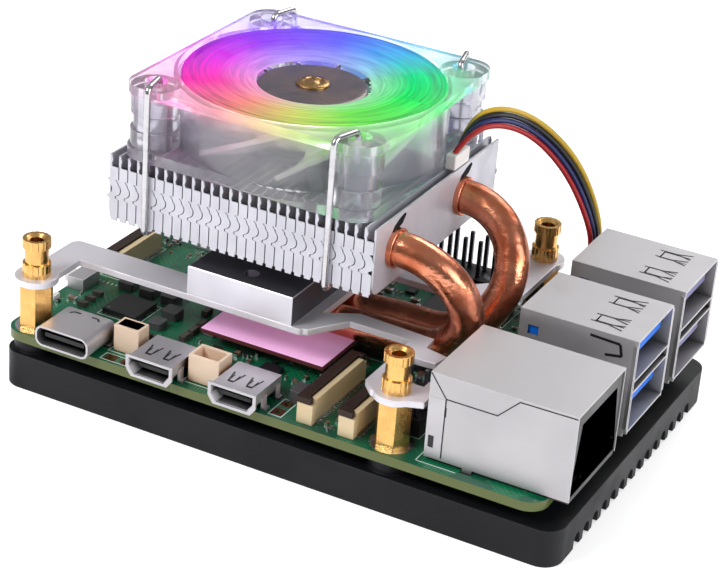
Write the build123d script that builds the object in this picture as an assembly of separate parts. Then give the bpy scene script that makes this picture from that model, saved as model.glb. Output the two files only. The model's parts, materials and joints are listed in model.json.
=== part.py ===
"""Single board computer on a finned base plate, with a heat pipe tower cooler and a 40 mm class fan.

All numbers are millimetres. The board frame has X from the power inlet end to the network jack
end, Y from the video port edge to the pin header edge, and Z = 0 on the top face of the board.
Everything is moved to the part frame (centre of the base underside) when it is saved.
"""
import math
import os

from build123d import *

os.makedirs("parts", exist_ok=True)

# ---------------------------------------------------------------- driving dimensions
BOARD_X, BOARD_Y, BOARD_T = 85.0, 56.0, 1.4
BOARD_R = 3.0
HOLE_XY = [(3.5, 3.5), (61.5, 3.5), (3.5, 52.5), (61.5, 52.5)]
HOLE_D = 2.7

BASE_X, BASE_Y0, BASE_Y1 = 88.0, -0.4, 56.4
BASE_TOP, BASE_BOTTOM = -3.2, -8.8
BASE_R = 3.0
BOSS_D = 6.4
GROOVES, GROOVE_PITCH, GROOVE_W, GROOVE_DEPTH = 14, 3.2, 1.9, 2.1

SCREW_D, SCREW_HEAD_D, SCREW_HEAD_H = 2.44, 4.6, 1.4
STANDOFF_AF, STANDOFF_H = 4.5, 7.2
STUD_D, STUD_TOP = 2.44, 10.8
THREAD_BORE_D = 2.5
NUT_BORE_D, NUT_STEP_Z = 2.0, 11.2
NUT_TOP, NUT_COLLAR_D, NUT_WAIST_D = 14.0, 4.1, 3.4
BRACKET_T = 1.0
BRACKET_Z = STANDOFF_H

BLOCK_X0, BLOCK_X1, BLOCK_Y0, BLOCK_Y1 = 24.1, 41.2, 10.9, 38.2
BLOCK_H = 4.4

CHIP_X, CHIP_Y, CHIP_SIDE, CHIP_TOP = 36.0, 24.0, 17.0, 2.05
PAD_SIDE_X, PAD_SIDE_Y, PAD_T = 20.0, 21.0, 0.75

PIPE_D = 5.0
PIPE_FLAT_H, PIPE_FLAT_W = 4.3, 5.4
PIPE_BASE_Z = 5.0
PIPE_BASE_Y = (22.3, 27.8)
PIPE_FIN_Y = (15.5, 36.5)
PIPE_FIN_Z = 22.3
PIPE_BEND_X = 54.7
PIPE_START_X = 25.2
PIPE_FLAT_X, PIPE_ROUND_X = 46.4, 50.0

FIN_COUNT, FIN_PITCH, FIN_T = 29, 1.5, 0.3
FIN_X0 = 11.7
FIN_Y0, FIN_Y1 = 9.6, 48.4
FIN_Z0, FIN_Z1 = 17.0, 27.0

FAN_SIDE, FAN_CX, FAN_CY = 39.5, 32.5, 29.3
FAN_Z0, FAN_Z1 = 27.06, 38.0
FAN_BORE_D, FAN_POST_D, FAN_POST_OFFSET = 38.2, 7.0, 16.0
ROTOR_D, HUB_D, HUB_TOP, HUB_BOTTOM = 37.2, 16.6, 36.4, 29.6
BLADES, BLADE_T = 9, 0.7
SHAFT_D, BEARING_BORE_D, BEARING_D = 2.0, 2.06, 4.2

CLIP_WIRE_D = 0.9
LEAD_D, LEAD_PITCH = 0.8, 0.95

ORIGIN = (BASE_X / 2, (BASE_Y0 + BASE_Y1) / 2, BASE_BOTTOM)


# ---------------------------------------------------------------- helpers
def block(x0, x1, y0, y1, z0, z1):
    """An upright box between two corners."""
    centre = ((x0 + x1) / 2, (y0 + y1) / 2, (z0 + z1) / 2)
    return Pos(*centre) * Box(x1 - x0, y1 - y0, z1 - z0)


def rod(x, y, d, z0, z1):
    """An upright cylinder."""
    return Pos(x, y, (z0 + z1) / 2) * Cylinder(d / 2, z1 - z0)


def plate(points, z0, z1):
    """A flat sheet from a closed outline."""
    return Pos(0, 0, z0) * extrude(make_face(Polyline(*points, close=True)), z1 - z0)


def rounded(x0, x1, y0, y1, z0, z1, r):
    """An upright box with rounded vertical corners."""
    face = Pos((x0 + x1) / 2, (y0 + y1) / 2, z0) * RectangleRounded(x1 - x0, y1 - y0, r)
    return extrude(face, z1 - z0)


def join(items):
    """Fuse a list of solids."""
    whole = items[0]
    for item in items[1:]:
        whole = whole + item
    return whole


def group(items):
    """Several separate identical pieces kept as one node."""
    return Compound(children=list(items))


def save(name, shape):
    """Move a piece into the part frame and write it."""
    moved = Pos(-ORIGIN[0], -ORIGIN[1], -ORIGIN[2]) * shape
    moved.label = name
    export_step(moved, f"parts/{name}.step")
    print(f"{name:24s} {shape.volume:9.2f} mm3")


# ---------------------------------------------------------------- base plate and its screws
base = rounded(0, BASE_X, BASE_Y0, BASE_Y1, BASE_BOTTOM, BASE_TOP, BASE_R)
groove_y0 = ORIGIN[1] - (GROOVES - 1) * GROOVE_PITCH / 2
for i in range(GROOVES):
    y = groove_y0 + i * GROOVE_PITCH
    round_z = BASE_BOTTOM + GROOVE_DEPTH - GROOVE_W / 2
    base -= block(-1, BASE_X + 1, y - GROOVE_W / 2, y + GROOVE_W / 2, BASE_BOTTOM - 1, round_z)
    base -= Pos(BASE_X / 2, y, round_z) * Rot(0, 90, 0) * Cylinder(GROOVE_W / 2, BASE_X + 2)
for x, y in HOLE_XY:
    base += rod(x, y, BOSS_D, BASE_TOP - 0.1, -BOARD_T)
for x, y in HOLE_XY:
    base -= rod(x, y, HOLE_D, BASE_BOTTOM - 1, 0)
    base -= rod(x, y, SCREW_HEAD_D + 0.3, BASE_BOTTOM - 1, BASE_BOTTOM + SCREW_HEAD_H + 0.1)
save("base_heatsink", base)

screws = []
for x, y in HOLE_XY:
    head = rod(x, y, SCREW_HEAD_D, BASE_BOTTOM + 0.15, BASE_BOTTOM + SCREW_HEAD_H)
    head -= Pos(x, y, BASE_BOTTOM + 0.5) * extrude(RegularPolygon(0.85, 6, major_radius=False), 0.8, both=True)
    screws.append(head + rod(x, y, SCREW_D, BASE_BOTTOM + SCREW_HEAD_H - 0.1, 3.6))
save("base_screws", group(screws))

# ---------------------------------------------------------------- circuit board
board = rounded(0, BOARD_X, 0, BOARD_Y, -BOARD_T, 0, BOARD_R)
for x, y in HOLE_XY:
    board -= rod(x, y, HOLE_D, -3, 1)
HEADER_X0, HEADER_Y0, PIN_PITCH = 8.37, 51.23, 2.54
header_xy = [(HEADER_X0 + i * PIN_PITCH, HEADER_Y0 + j * PIN_PITCH) for i in range(20) for j in range(2)]
AUX_X0, AUX_Y0 = 60.26, 7.8
aux_xy = [(AUX_X0 + i * PIN_PITCH, AUX_Y0 + j * PIN_PITCH) for i in range(2) for j in range(2)]
for x, y in header_xy + aux_xy:
    board -= rod(x, y, 1.0, -3, 1)
TAB_SLOTS = [(x, y) for x in (73.4, 82.8) for y in (22.5, 35.7, 40.4, 53.6)]
for x, y in TAB_SLOTS:
    board -= block(x - 0.15, x + 1.35, y - 0.45, y + 0.45, -3, 1)
for y in (2.2, 18.2):
    board -= block(72.45, 74.15, y - 0.45, y + 0.45, -3, 1)
for x, y in [(17.8, 1.45), (20.35, 1.45), (44.9, 1.8), (44.9, 4.35)]:
    board -= rod(x, y, 1.0, -3, 1)
save("circuit_board", board)

# ---------------------------------------------------------------- chips and small parts
half = CHIP_SIDE / 2
chip = block(CHIP_X - half, CHIP_X + half, CHIP_Y - half, CHIP_Y + half, 0, 0.8)
chip += rounded(CHIP_X - half + 0.6, CHIP_X + half - 0.6, CHIP_Y - half + 0.6, CHIP_Y + half - 0.6,
                0.7, CHIP_TOP, 0.8)
save("processor", chip)
save("thermal_pad", block(CHIP_X - PAD_SIDE_X / 2, CHIP_X + PAD_SIDE_X / 2,
                          CHIP_Y - 1.5 - PAD_SIDE_Y / 2, CHIP_Y - 1.5 + PAD_SIDE_Y / 2,
                          CHIP_TOP, CHIP_TOP + PAD_T))
save("memory_chip", block(47.4, 57.4, 23.2, 36.2, 0, 1.0))
save("io_controller", rounded(47.6, 59.4, 37.6, 48.4, 0, 1.1, 0.3))
save("power_chip", block(9.1, 14.9, 12.1, 17.9, 0, 0.9))
save("network_chip", block(59.6, 64.8, 20.0, 25.2, 0, 0.9))
save("radio_module", rounded(8.2, 20.2, 38.6, 48.0, 0, 1.7, 0.4))

coils = []
for x, y, s, h in [(8.0, 21.0, 2.6, 1.4), (11.8, 20.8, 2.6, 1.4), (15.6, 20.8, 2.6, 1.4), (18.3, 16.8, 2.6, 1.4),
                   (18.2, 12.9, 2.2, 1.2), (46.2, 6.4, 3.0, 2.0)]:
    coils.append(rounded(x - s / 2, x + s / 2, y - s / 2, y + s / 2, 0, h, 0.35))
save("inductors", group(coils))

caps = []
for x, y in [(5.6, 12.2), (5.6, 14.2), (5.6, 16.2), (7.4, 8.8), (16.6, 9.4), (18.6, 9.4), (20.6, 9.4)]:
    caps.append(block(x - 0.8, x + 0.8, y - 0.4, y + 0.4, 0, 0.8))
for x, y in [(23.4, 12.0), (23.4, 14.4), (23.4, 16.8), (22.0, 20.5), (45.2, 34.8), (45.2, 37.2)]:
    caps.append(block(x - 0.5, x + 0.5, y - 0.9, y + 0.9, 0, 0.9))
save("chip_capacitors", group(caps))

cans = []
for x, y in [(25.6, 15.6), (21.8, 30.6), (61.8, 28.4)]:
    cans.append(rounded(x - 1.0, x + 1.0, y - 0.8, y + 0.8, 0, 0.6, 0.2))
save("crystal_cans", group(cans))
save("status_led", block(0.5, 1.3, 11.0, 12.6, 0, 0.7))

# ---------------------------------------------------------------- power inlet and video ports
INLET_X, INLET_W, INLET_H, INLET_Y0, INLET_Y1 = 11.2, 8.94, 3.2, -1.4, 5.9


def flat_tube(x, z, w, h, y0, y1, r):
    """A rounded rectangular bar lying along Y."""
    face = Pos(x, y0, z) * Rot(-90, 0, 0) * RectangleRounded(w, h, r)
    return extrude(face, y1 - y0, dir=(0, 1, 0))


inlet_z = INLET_H / 2
inlet = flat_tube(INLET_X, inlet_z, INLET_W, INLET_H, INLET_Y0, INLET_Y1, 1.25)
inlet -= flat_tube(INLET_X, inlet_z, INLET_W - 0.6, INLET_H - 0.6, INLET_Y0 - 1, INLET_Y1 - 0.4, 0.96)
for side in (-1, 1):
    inlet += block(INLET_X + side * 3.9 - 1.0, INLET_X + side * 3.9 + 1.0, 3.6, 5.0, 0, 0.3)
save("power_inlet_shell", inlet)
tongue = block(INLET_X - 3.35, INLET_X + 3.35, -0.6, 4.0, inlet_z - 0.35, inlet_z + 0.35)
tongue += flat_tube(INLET_X, inlet_z, INLET_W - 0.7, INLET_H - 0.7, 3.9, INLET_Y1 - 0.45, 0.9)
save("power_inlet_tongue", tongue)

VIDEO_X = (25.8, 39.2)
VIDEO_W, VIDEO_H, VIDEO_Y0, VIDEO_Y1, VIDEO_Z0 = 6.9, 2.75, -1.1, 6.3, 0.25


def video_profile(x, w, h, z0, y):
    """Outline of a small port: flat top, sloped lower corners."""
    cut_x, cut_z = 0.85, 1.15
    points = [(x - w / 2, y, z0 + h), (x + w / 2, y, z0 + h), (x + w / 2, y, z0 + cut_z),
              (x + w / 2 - cut_x, y, z0), (x - w / 2 + cut_x, y, z0), (x - w / 2, y, z0 + cut_z)]
    return make_face(Polyline(*points, close=True))


video_shells = []
video_tongues = []
for x in VIDEO_X:
    outer = extrude(video_profile(x, VIDEO_W, VIDEO_H, VIDEO_Z0, VIDEO_Y0), VIDEO_Y1 - VIDEO_Y0, dir=(0, 1, 0))
    inner = extrude(video_profile(x, VIDEO_W - 0.5, VIDEO_H - 0.5, VIDEO_Z0 + 0.25, VIDEO_Y0 - 1),
                    VIDEO_Y1 - VIDEO_Y0 + 0.6, dir=(0, 1, 0))
    shell = outer - inner
    lip = extrude(video_profile(x, VIDEO_W + 0.7, VIDEO_H + 0.5, VIDEO_Z0 - 0.25, VIDEO_Y0 - 0.25), 0.3, dir=(0, 1, 0))
    lip -= extrude(video_profile(x, VIDEO_W - 0.3, VIDEO_H - 0.3, VIDEO_Z0 + 0.15, VIDEO_Y0 - 1), 2, dir=(0, 1, 0))
    shell += lip
    for side in (-1, 1):
        for y in (0.9, 4.6):
            shell += block(x + side * 3.5 - 0.12, x + side * 3.5 + 0.12, y, y + 1.2, 0, 2.0)
            shell += block(x + side * 3.8 - 0.35, x + side * 3.8 + 0.35, y, y + 1.2, 0, 0.3)
    for side in (-1, 1):
        slot = block(x + side * 1.45 - 0.5, x + side * 1.45 + 0.5, 0.6, 2.7, 2.5, 3.5)
        slot -= block(x + side * 1.45 - 0.32, x + side * 1.45 + 0.32, 0.85, 2.8, 2.5, 3.5)
        shell -= slot
    video_shells.append(shell)
    insert = block(x - 2.55, x + 2.55, -0.4, 4.6, 1.35, 2.0)
    insert += extrude(video_profile(x, VIDEO_W - 0.6, VIDEO_H - 0.6, VIDEO_Z0 + 0.3, 4.5), 0.9, dir=(0, 1, 0))
    video_tongues.append(insert)
save("video_port_shells", group(video_shells))
save("video_port_tongues", group(video_tongues))

# ---------------------------------------------------------------- network jack
JACK_X0, JACK_X1, JACK_Y0, JACK_Y1, JACK_Z0, JACK_Z1, JACK_WALL = 66.9, 87.9, 2.2, 18.2, 0.5, 13.3, 0.25
jack = block(JACK_X0, JACK_X1, JACK_Y0, JACK_Y1, JACK_Z0, JACK_Z1)
jack -= block(JACK_X0 + JACK_WALL, JACK_X1 + 1, JACK_Y0 + JACK_WALL, JACK_Y1 - JACK_WALL, JACK_Z0 - 1, JACK_Z1 - JACK_WALL)
for y in (JACK_Y0, JACK_Y1 - JACK_WALL):
    jack += block(72.6, 74.0, y, y + JACK_WALL, -BOARD_T, JACK_Z0 + 0.1)
    jack -= block(68.0, 69.6, y - 1, y + 1, 7.2, 8.6)
save("network_jack_shell", jack)
gap = 0.05 + JACK_WALL
core = block(JACK_X0 + gap, JACK_X1 - 0.15, JACK_Y0 + gap, JACK_Y1 - gap, 0.05, JACK_Z1 - gap)
jack_y = (JACK_Y0 + JACK_Y1) / 2
core -= block(JACK_X1 - 13.5, JACK_X1 + 1, jack_y - 5.9, jack_y + 5.9, 3.6, 11.2)
core -= block(JACK_X1 - 13.5, JACK_X1 + 1, jack_y - 3.1, jack_y + 3.1, 1.9, 3.7)
core -= block(JACK_X1 - 9.0, JACK_X1 + 1, jack_y - 2.0, jack_y + 2.0, 0.9, 2.0)
for side in (-1, 1):
    core -= block(JACK_X1 - 1.2, JACK_X1 + 1, jack_y + side * 6.1 - 1.4, jack_y + side * 6.1 + 1.4, 0.9, 2.6)
save("network_jack_body", core)
contacts = []
for i in range(8):
    y = jack_y + (i - 3.5) * 1.27
    with BuildLine() as spring:
        FilletPolyline((JACK_X1 - 13.4, y, 10.8), (JACK_X1 - 3.2, y, 10.75), (JACK_X1 - 9.6, y, 7.2), radius=0.35)
    start = Plane(origin=spring.line @ 0, z_dir=spring.line % 0)
    contacts.append(sweep(start * Rectangle(0.35, 0.35), path=spring.line))
save("network_contacts", group(contacts))

# ---------------------------------------------------------------- stacked host ports
PORT_LEN, PORT_X1, PORT_Z0, PORT_Z1, PORT_WALL = 17.4, 87.8, 0.3, 15.2, 0.3


def host_shell(y0, y1):
    """Folded sheet shell with two stacked openings and turned-out lips."""
    x0 = PORT_X1 - PORT_LEN
    shell = block(x0, PORT_X1, y0, y1, PORT_Z0, PORT_Z1)
    shell -= block(x0 + PORT_WALL, PORT_X1 + 1, y0 + PORT_WALL, y1 - PORT_WALL, PORT_Z0 - 1, PORT_Z1 - PORT_WALL)
    shell += block(x0 + 4.6, PORT_X1, y0, y1, 1.0, 1.0 + PORT_WALL)
    shell += block(x0 + 4.6, PORT_X1, y0, y1, 7.1, 7.1 + PORT_WALL)
    shell += block(x0 + 4.6, PORT_X1, y0, y1, 8.8, 8.8 + PORT_WALL)
    shell -= block(PORT_X1 - 0.6, PORT_X1 + 1, y0 - 1, y1 + 1, PORT_Z0 - 1, 0.85)
    for y, s in ((y0, -1), (y1, 1)):
        shell += plate([(PORT_X1 - 0.7, y), (PORT_X1, y + s * 0.5), (PORT_X1, y + s * 0.2),
                        (PORT_X1 - 0.6, y - s * 0.3), (PORT_X1 - 0.7, y - s * 0.3)], 1.6, 14.6)
    for x in (x0 + 3.0, x0 + 12.4):
        for y in (y0, y1 - PORT_WALL):
            shell += block(x, x + 1.2, y, y + PORT_WALL, -BOARD_T, PORT_Z0 + 0.1)
    for y in (y0 + 3.6, y1 - 3.6):
        slot = block(PORT_X1 - 7.4, PORT_X1 - 3.2, y - 1.15, y + 1.15, PORT_Z1 - 0.5, PORT_Z1 + 1)
        slot -= block(PORT_X1 - 7.15, PORT_X1 - 3.1, y - 0.9, y + 0.9, PORT_Z1 - 0.6, PORT_Z1 + 1)
        shell -= slot
    shell -= block(x0 + 1.3, x0 + 2.9, y0 - 1, y0 + 1, 11.6, 13.0)
    return shell


def host_insert(y0, y1):
    """Moulded rear body with one tongue for each opening."""
    x0 = PORT_X1 - PORT_LEN
    y = (y0 + y1) / 2
    body = block(x0 + 0.35, x0 + 4.5, y0 + 0.35, y1 - 0.35, 0.05, PORT_Z1 - 0.35)
    for z in (4.9, 12.7):
        body += block(x0 + 4.4, x0 + 16.2, y - 5.6, y + 5.6, z - 0.95, z + 0.95)
    return body


HOST_FAST_Y = (22.5, 35.7)
HOST_SLOW_Y = (40.4, 53.6)
save("host_port_shells", group([host_shell(*HOST_FAST_Y), host_shell(*HOST_SLOW_Y)]))
save("host_port_fast_insert", host_insert(*HOST_FAST_Y))
save("host_port_slow_insert", host_insert(*HOST_SLOW_Y))


# ---------------------------------------------------------------- small wire sockets
def wire_socket(x0, x1, y0, y1, h, pins, along):
    """Open-topped moulded socket with upright pins in a row."""
    wall = 0.5
    body = block(x0, x1, y0, y1, 0, h)
    body -= block(x0 + wall, x1 - wall, y0 + wall, y1 - wall, 0.9, h + 1)
    cx, cy = (x0 + x1) / 2, (y0 + y1) / 2
    for i in range(pins):
        step = (i - (pins - 1) / 2) * 1.0
        px, py = (cx + step, cy) if along == "x" else (cx, cy + step)
        body += block(px - 0.15, px + 0.15, py - 0.15, py + 0.15, 0.8, 2.4)
    return body


FAN_SOCKET = (66.6, 69.8, 49.0, 55.0)
save("battery_socket", wire_socket(16.7, 20.9, 3.6, 6.4, 4.1, 2, "x"))
save("debug_socket", wire_socket(30.0, 35.0, 2.2, 5.8, 4.2, 3, "x"))
fan_socket = block(FAN_SOCKET[0], FAN_SOCKET[1], FAN_SOCKET[2], FAN_SOCKET[3], 0, 3.4)
fan_socket -= block(FAN_SOCKET[0] + 0.5, FAN_SOCKET[1] - 0.5, FAN_SOCKET[2] + 0.5, FAN_SOCKET[3] - 0.5, 0.7, 5)
save("fan_socket", fan_socket)

# ---------------------------------------------------------------- flat cable sockets and their latches
FLAT_TOP = 3.1


def flat_socket(x, y0, y1, s):
    """Moulded socket body standing on the board; s gives the latch side."""
    body = block(x - 1.2, x + 1.2, y0, y1, 0, FLAT_TOP)
    body += block(x - s * 0.75 - 0.45, x - s * 0.75 + 0.45, y0 + 0.9, y1 - 0.9, FLAT_TOP - 0.1, FLAT_TOP + 0.55)
    body -= block(x - 0.6, x + 0.2, y0 + 1.6, y1 - 1.6, 0.6, FLAT_TOP + 1) if s < 0 else \
        block(x - 0.2, x + 0.6, y0 + 1.6, y1 - 1.6, 0.6, FLAT_TOP + 1)
    return body


def flat_latch(x, y0, y1, s):
    """Slide-up latch: cap over the socket with a stem in the cable slot."""
    cap_x = sorted((x - s * 0.2, x + s * 1.35))
    cap = block(cap_x[0], cap_x[1], y0 - 0.1, y1 + 0.1, FLAT_TOP + 0.08, FLAT_TOP + 0.95)
    for ya, yb in ((y0 - 0.1, y0 + 0.75), (y1 - 0.75, y1 + 0.1)):
        ear = sorted((x - s * 0.9, x))
        cap += block(ear[0], ear[1], ya, yb, FLAT_TOP + 0.08, FLAT_TOP + 0.95)
    stem = sorted((x + s * 0.08, x + s * 0.5))
    cap += block(stem[0], stem[1], y0 + 1.9, y1 - 1.9, 1.0, FLAT_TOP + 0.5)
    return cap


CAMERA_X = (49.3, 55.7)
CAMERA_Y = (1.0, 16.7)
save("camera_sockets", group([flat_socket(x, CAMERA_Y[0], CAMERA_Y[1], -1) for x in CAMERA_X]))
save("camera_latch_left", flat_latch(CAMERA_X[0], CAMERA_Y[0], CAMERA_Y[1], -1))
save("camera_latch_right", flat_latch(CAMERA_X[1], CAMERA_Y[0], CAMERA_Y[1], -1))
EXPANSION_X, EXPANSION_Y = 3.6, (22.8, 35.0)
save("expansion_socket", flat_socket(EXPANSION_X, EXPANSION_Y[0], EXPANSION_Y[1], -1))
save("expansion_latch", flat_latch(EXPANSION_X, EXPANSION_Y[0], EXPANSION_Y[1], -1))


# ---------------------------------------------------------------- pin headers
def header_parts(spots, x0, x1, y0, y1, z_top):
    """A moulded strip and its square pins."""
    strip = block(x0, x1, y0, y1, 0, 2.5)
    pins = []
    for x, y in spots:
        strip -= block(x - 0.34, x + 0.34, y - 0.34, y + 0.34, -1, 4)
        pins.append(block(x - 0.32, x + 0.32, y - 0.32, y + 0.32, -2.7, z_top))
    return strip, group(pins)


strip, pins = header_parts(header_xy, HEADER_X0 - 1.27, HEADER_X0 + 49.53, HEADER_Y0 - 1.27, HEADER_Y0 + 3.81, 8.5)
small_strip, small_pins = header_parts(aux_xy, AUX_X0 - 1.2, AUX_X0 + 3.74, AUX_Y0 - 1.2, AUX_Y0 + 3.74, 8.5)
save("header_strips", group([strip, small_strip]))
save("header_pins", group(list(pins.solids()) + list(small_pins.solids())))

# ---------------------------------------------------------------- card socket and power button
card = block(0.6, 14.0, 21.6, 34.4, -2.85, -BOARD_T)
card -= block(-1, 12.8, 22.4, 33.6, -2.6, -1.75)
save("card_socket", card)

BUTTON_Y = 18.0
button = block(0.35, 3.2, BUTTON_Y - 2.2, BUTTON_Y + 2.2, 0, 2.0)
button -= block(0, 1.9, BUTTON_Y - 1.45, BUTTON_Y + 1.45, 0.35, 1.65)
save("power_button_body", button)
cap = block(-0.75, 0.9, BUTTON_Y - 1.3, BUTTON_Y + 1.3, 0.5, 1.5)
cap += block(0.8, 1.4, BUTTON_Y - 0.8, BUTTON_Y + 0.8, 0.65, 1.35)
save("power_button_cap", cap)

# ---------------------------------------------------------------- cooler bracket and block
RING_D = 6.3
bz0, bz1 = BRACKET_Z, BRACKET_Z + BRACKET_T
bracket = rounded(24.0, 42.9, 10.8, 45.2, bz0, bz1, 0.6)
bracket += rounded(1.5, 26.0, 10.8, 16.2, bz0, bz1, 1.4)
bracket += block(1.5, 5.9, 3.5, 14.0, bz0, bz1)
bracket += rounded(1.5, 26.0, 39.8, 45.2, bz0, bz1, 1.4)
bracket += block(1.5, 5.9, 42.0, 52.5, bz0, bz1)
bracket += plate([(41.0, 10.8), (43.6, 11.4), (47.3, 17.0), (56.8, 17.0), (56.8, 3.6), (58.6, 1.6), (61.5, 1.2),
                  (61.5, 6.3), (59.4, 6.3), (59.4, 12.7), (62.7, 12.9), (63.2, 15.6), (59.6, 16.4),
                  (59.4, 19.3), (47.3, 20.0), (41.0, 16.0)], bz0, bz1)
bracket += plate([(61.5, 0.5), (66.2, 2.5), (66.2, 8.0), (64.2, 8.0), (64.2, 6.3), (61.5, 6.3)], bz0, bz1)
bracket += plate([(41.0, 33.6), (59.4, 33.6), (64.1, 38.6), (64.1, 53.0), (59.2, 53.0), (59.2, 40.6), (56.6, 38.0),
                  (41.0, 38.0)], bz0, bz1)
for x, y in HOLE_XY:
    bracket += rod(x, y, RING_D, bz0, bz1)
for x, y in HOLE_XY:
    bracket -= rod(x, y, HOLE_D, bz0 - 1, bz1 + 1)
for x, y in aux_xy:
    bracket -= rod(x, y, 1.9, bz0 - 1, bz1 + 1)
BLOCK_HOLE = (32.7, 14.2)
bracket -= rod(BLOCK_HOLE[0], BLOCK_HOLE[1], 2.1, bz0 - 1, bz1 + 1)
save("mounting_bracket", bracket)

spreader = block(BLOCK_X0, BLOCK_X1, BLOCK_Y0, BLOCK_Y1, bz1, bz1 + BLOCK_H)
top_edges = spreader.edges().group_by(Axis.Z)[-1]
spreader = chamfer(top_edges, 0.15)
for x, y in (BLOCK_HOLE, (BLOCK_HOLE[0], 35.0)):
    spreader -= rod(x, y, 2.1, bz1 - 1, bz1 + BLOCK_H + 1)
save("spreader_block", spreader)

# ---------------------------------------------------------------- posts and thumb nuts
posts = []
nuts = []
for x, y in HOLE_XY:
    post = Pos(x, y, 0) * extrude(RegularPolygon(STANDOFF_AF / 2, 6, major_radius=False), STANDOFF_H)
    post += rod(x, y, STUD_D, STANDOFF_H - 0.1, STUD_TOP)
    post -= rod(x, y, THREAD_BORE_D, -1, 4.6)
    posts.append(post)
    nut = rod(x, y, NUT_WAIST_D, bz1, NUT_TOP)
    for z0, z1 in ((bz1, 10.2), (12.6, NUT_TOP)):
        nut += rod(x, y, NUT_COLLAR_D, z0, z1)
    for i in range(16):
        a = math.radians(i * 22.5)
        nut -= rod(x + 2.17 * math.cos(a), y + 2.17 * math.sin(a), 0.42, bz1 - 1, NUT_TOP + 1)
    nut -= rod(x, y, THREAD_BORE_D, bz1 - 1, NUT_STEP_Z)
    nut -= rod(x, y, NUT_BORE_D, NUT_STEP_Z - 0.1, NUT_TOP + 1)
    nut -= Pos(x, y, NUT_TOP - 0.2) * Cone(NUT_BORE_D / 2, 1.5, 0.42)
    nuts.append(nut)
save("standoffs", group(posts))
save("thumb_nuts", group(nuts))


# ---------------------------------------------------------------- heat pipes
def heat_pipe(y_base, y_fin):
    """Round tube through the fins, half turn, then a flattened run over the processor."""
    z_base, z_fin = PIPE_BASE_Z, PIPE_FIN_Z
    bend_r = math.hypot(y_fin - y_base, z_fin - z_base) / 2
    mid = (PIPE_BEND_X + bend_r, (y_base + y_fin) / 2, (z_base + z_fin) / 2)
    upper = Line((FIN_X0 - 1.2, y_fin, z_fin), (PIPE_BEND_X, y_fin, z_fin))
    bend = ThreePointArc((PIPE_BEND_X, y_fin, z_fin), mid, (PIPE_BEND_X, y_base, z_base))
    lower = Line((PIPE_BEND_X, y_base, z_base), (PIPE_ROUND_X, y_base, z_base))
    path = Wire([upper, bend, lower])
    section = Plane(origin=(FIN_X0 - 1.2, y_fin, z_fin), z_dir=(1, 0, 0)) * Circle(PIPE_D / 2)
    tube = sweep(section, path=path)
    across = Plane(origin=(PIPE_ROUND_X, y_base, z_base), x_dir=(0, 1, 0), z_dir=(-1, 0, 0))
    flat = Plane(origin=(PIPE_FLAT_X, y_base, z_base), x_dir=(0, 1, 0), z_dir=(-1, 0, 0))
    round_face = across * Circle(PIPE_D / 2)
    flat_face = flat * Ellipse(PIPE_FLAT_W / 2, PIPE_FLAT_H / 2)
    tube += loft([round_face, flat_face])
    tube += extrude(flat_face, PIPE_FLAT_X - PIPE_START_X, dir=(-1, 0, 0))
    return tube, bend_r


front_pipe, front_r = heat_pipe(PIPE_BASE_Y[0], PIPE_FIN_Y[0])
rear_pipe, rear_r = heat_pipe(PIPE_BASE_Y[1], PIPE_FIN_Y[1])
save("heat_pipe_front", front_pipe)
save("heat_pipe_rear", rear_pipe)
print("heat pipe bend radii", round(front_r, 2), round(rear_r, 2))

# ---------------------------------------------------------------- fin stack
fin_end = FIN_X0 + (FIN_COUNT - 1) * FIN_PITCH
fins = block(FIN_X0, fin_end, FIN_Y0, FIN_Y0 + 0.3, FIN_Z0 + 0.4, FIN_Z1 - 1.7)
fins += block(FIN_X0, fin_end, FIN_Y1 - 0.3, FIN_Y1, FIN_Z0 + 0.4, FIN_Z1 - 1.7)
for i in range(FIN_COUNT - 1):
    x = FIN_X0 + i * FIN_PITCH + FIN_T / 2
    for y in (FIN_Y0, FIN_Y1):
        fins -= block(x, x + 0.1, y - 1, y + 1, FIN_Z0, 19.6)
        fins -= block(x, x + 0.1, y - 1, y + 1, 23.2, FIN_Z1)
for i in range(FIN_COUNT):
    x = FIN_X0 + i * FIN_PITCH
    leaf = block(x - FIN_T / 2, x + FIN_T / 2, FIN_Y0, FIN_Y1, FIN_Z0, FIN_Z1)
    fins += leaf
for y in PIPE_FIN_Y:
    fins -= Pos(32, y, PIPE_FIN_Z) * Rot(0, 90, 0) * Cylinder(PIPE_D / 2 + 0.03, 60)
    collar = Pos(fin_end + 0.45, y, PIPE_FIN_Z) * Rot(0, 90, 0) * Cylinder(PIPE_D / 2 + 0.35, 0.9)
    collar -= Pos(fin_end + 0.45, y, PIPE_FIN_Z) * Rot(0, 90, 0) * Cylinder(PIPE_D / 2 + 0.03, 2)
    fins += collar
save("cooling_fins", fins)

# ---------------------------------------------------------------- fan frame
fan_x0, fan_x1 = FAN_CX - FAN_SIDE / 2, FAN_CX + FAN_SIDE / 2
fan_y0, fan_y1 = FAN_CY - FAN_SIDE / 2, FAN_CY + FAN_SIDE / 2
frame = rod(FAN_CX, FAN_CY, FAN_SIDE, FAN_Z0, FAN_Z1)
frame += rounded(fan_x0, fan_x1, fan_y0, fan_y1, FAN_Z0, FAN_Z0 + 1.6, 3.5)
frame += rounded(fan_x0, fan_x1, fan_y0, fan_y1, FAN_Z1 - 1.4, FAN_Z1, 3.5)
post_xy = [(FAN_CX + i * FAN_POST_OFFSET, FAN_CY + j * FAN_POST_OFFSET) for i in (-1, 1) for j in (-1, 1)]
for x, y in post_xy:
    frame += rod(x, y, FAN_POST_D, FAN_Z0, FAN_Z1)
    frame -= rod(x, y, FAN_POST_D + 2, 31.2, 33.6) - rod(x, y, FAN_POST_D - 0.8, 31.0, 34.0) - \
        rod(FAN_CX, FAN_CY, FAN_SIDE, FAN_Z0, FAN_Z1)
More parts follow.
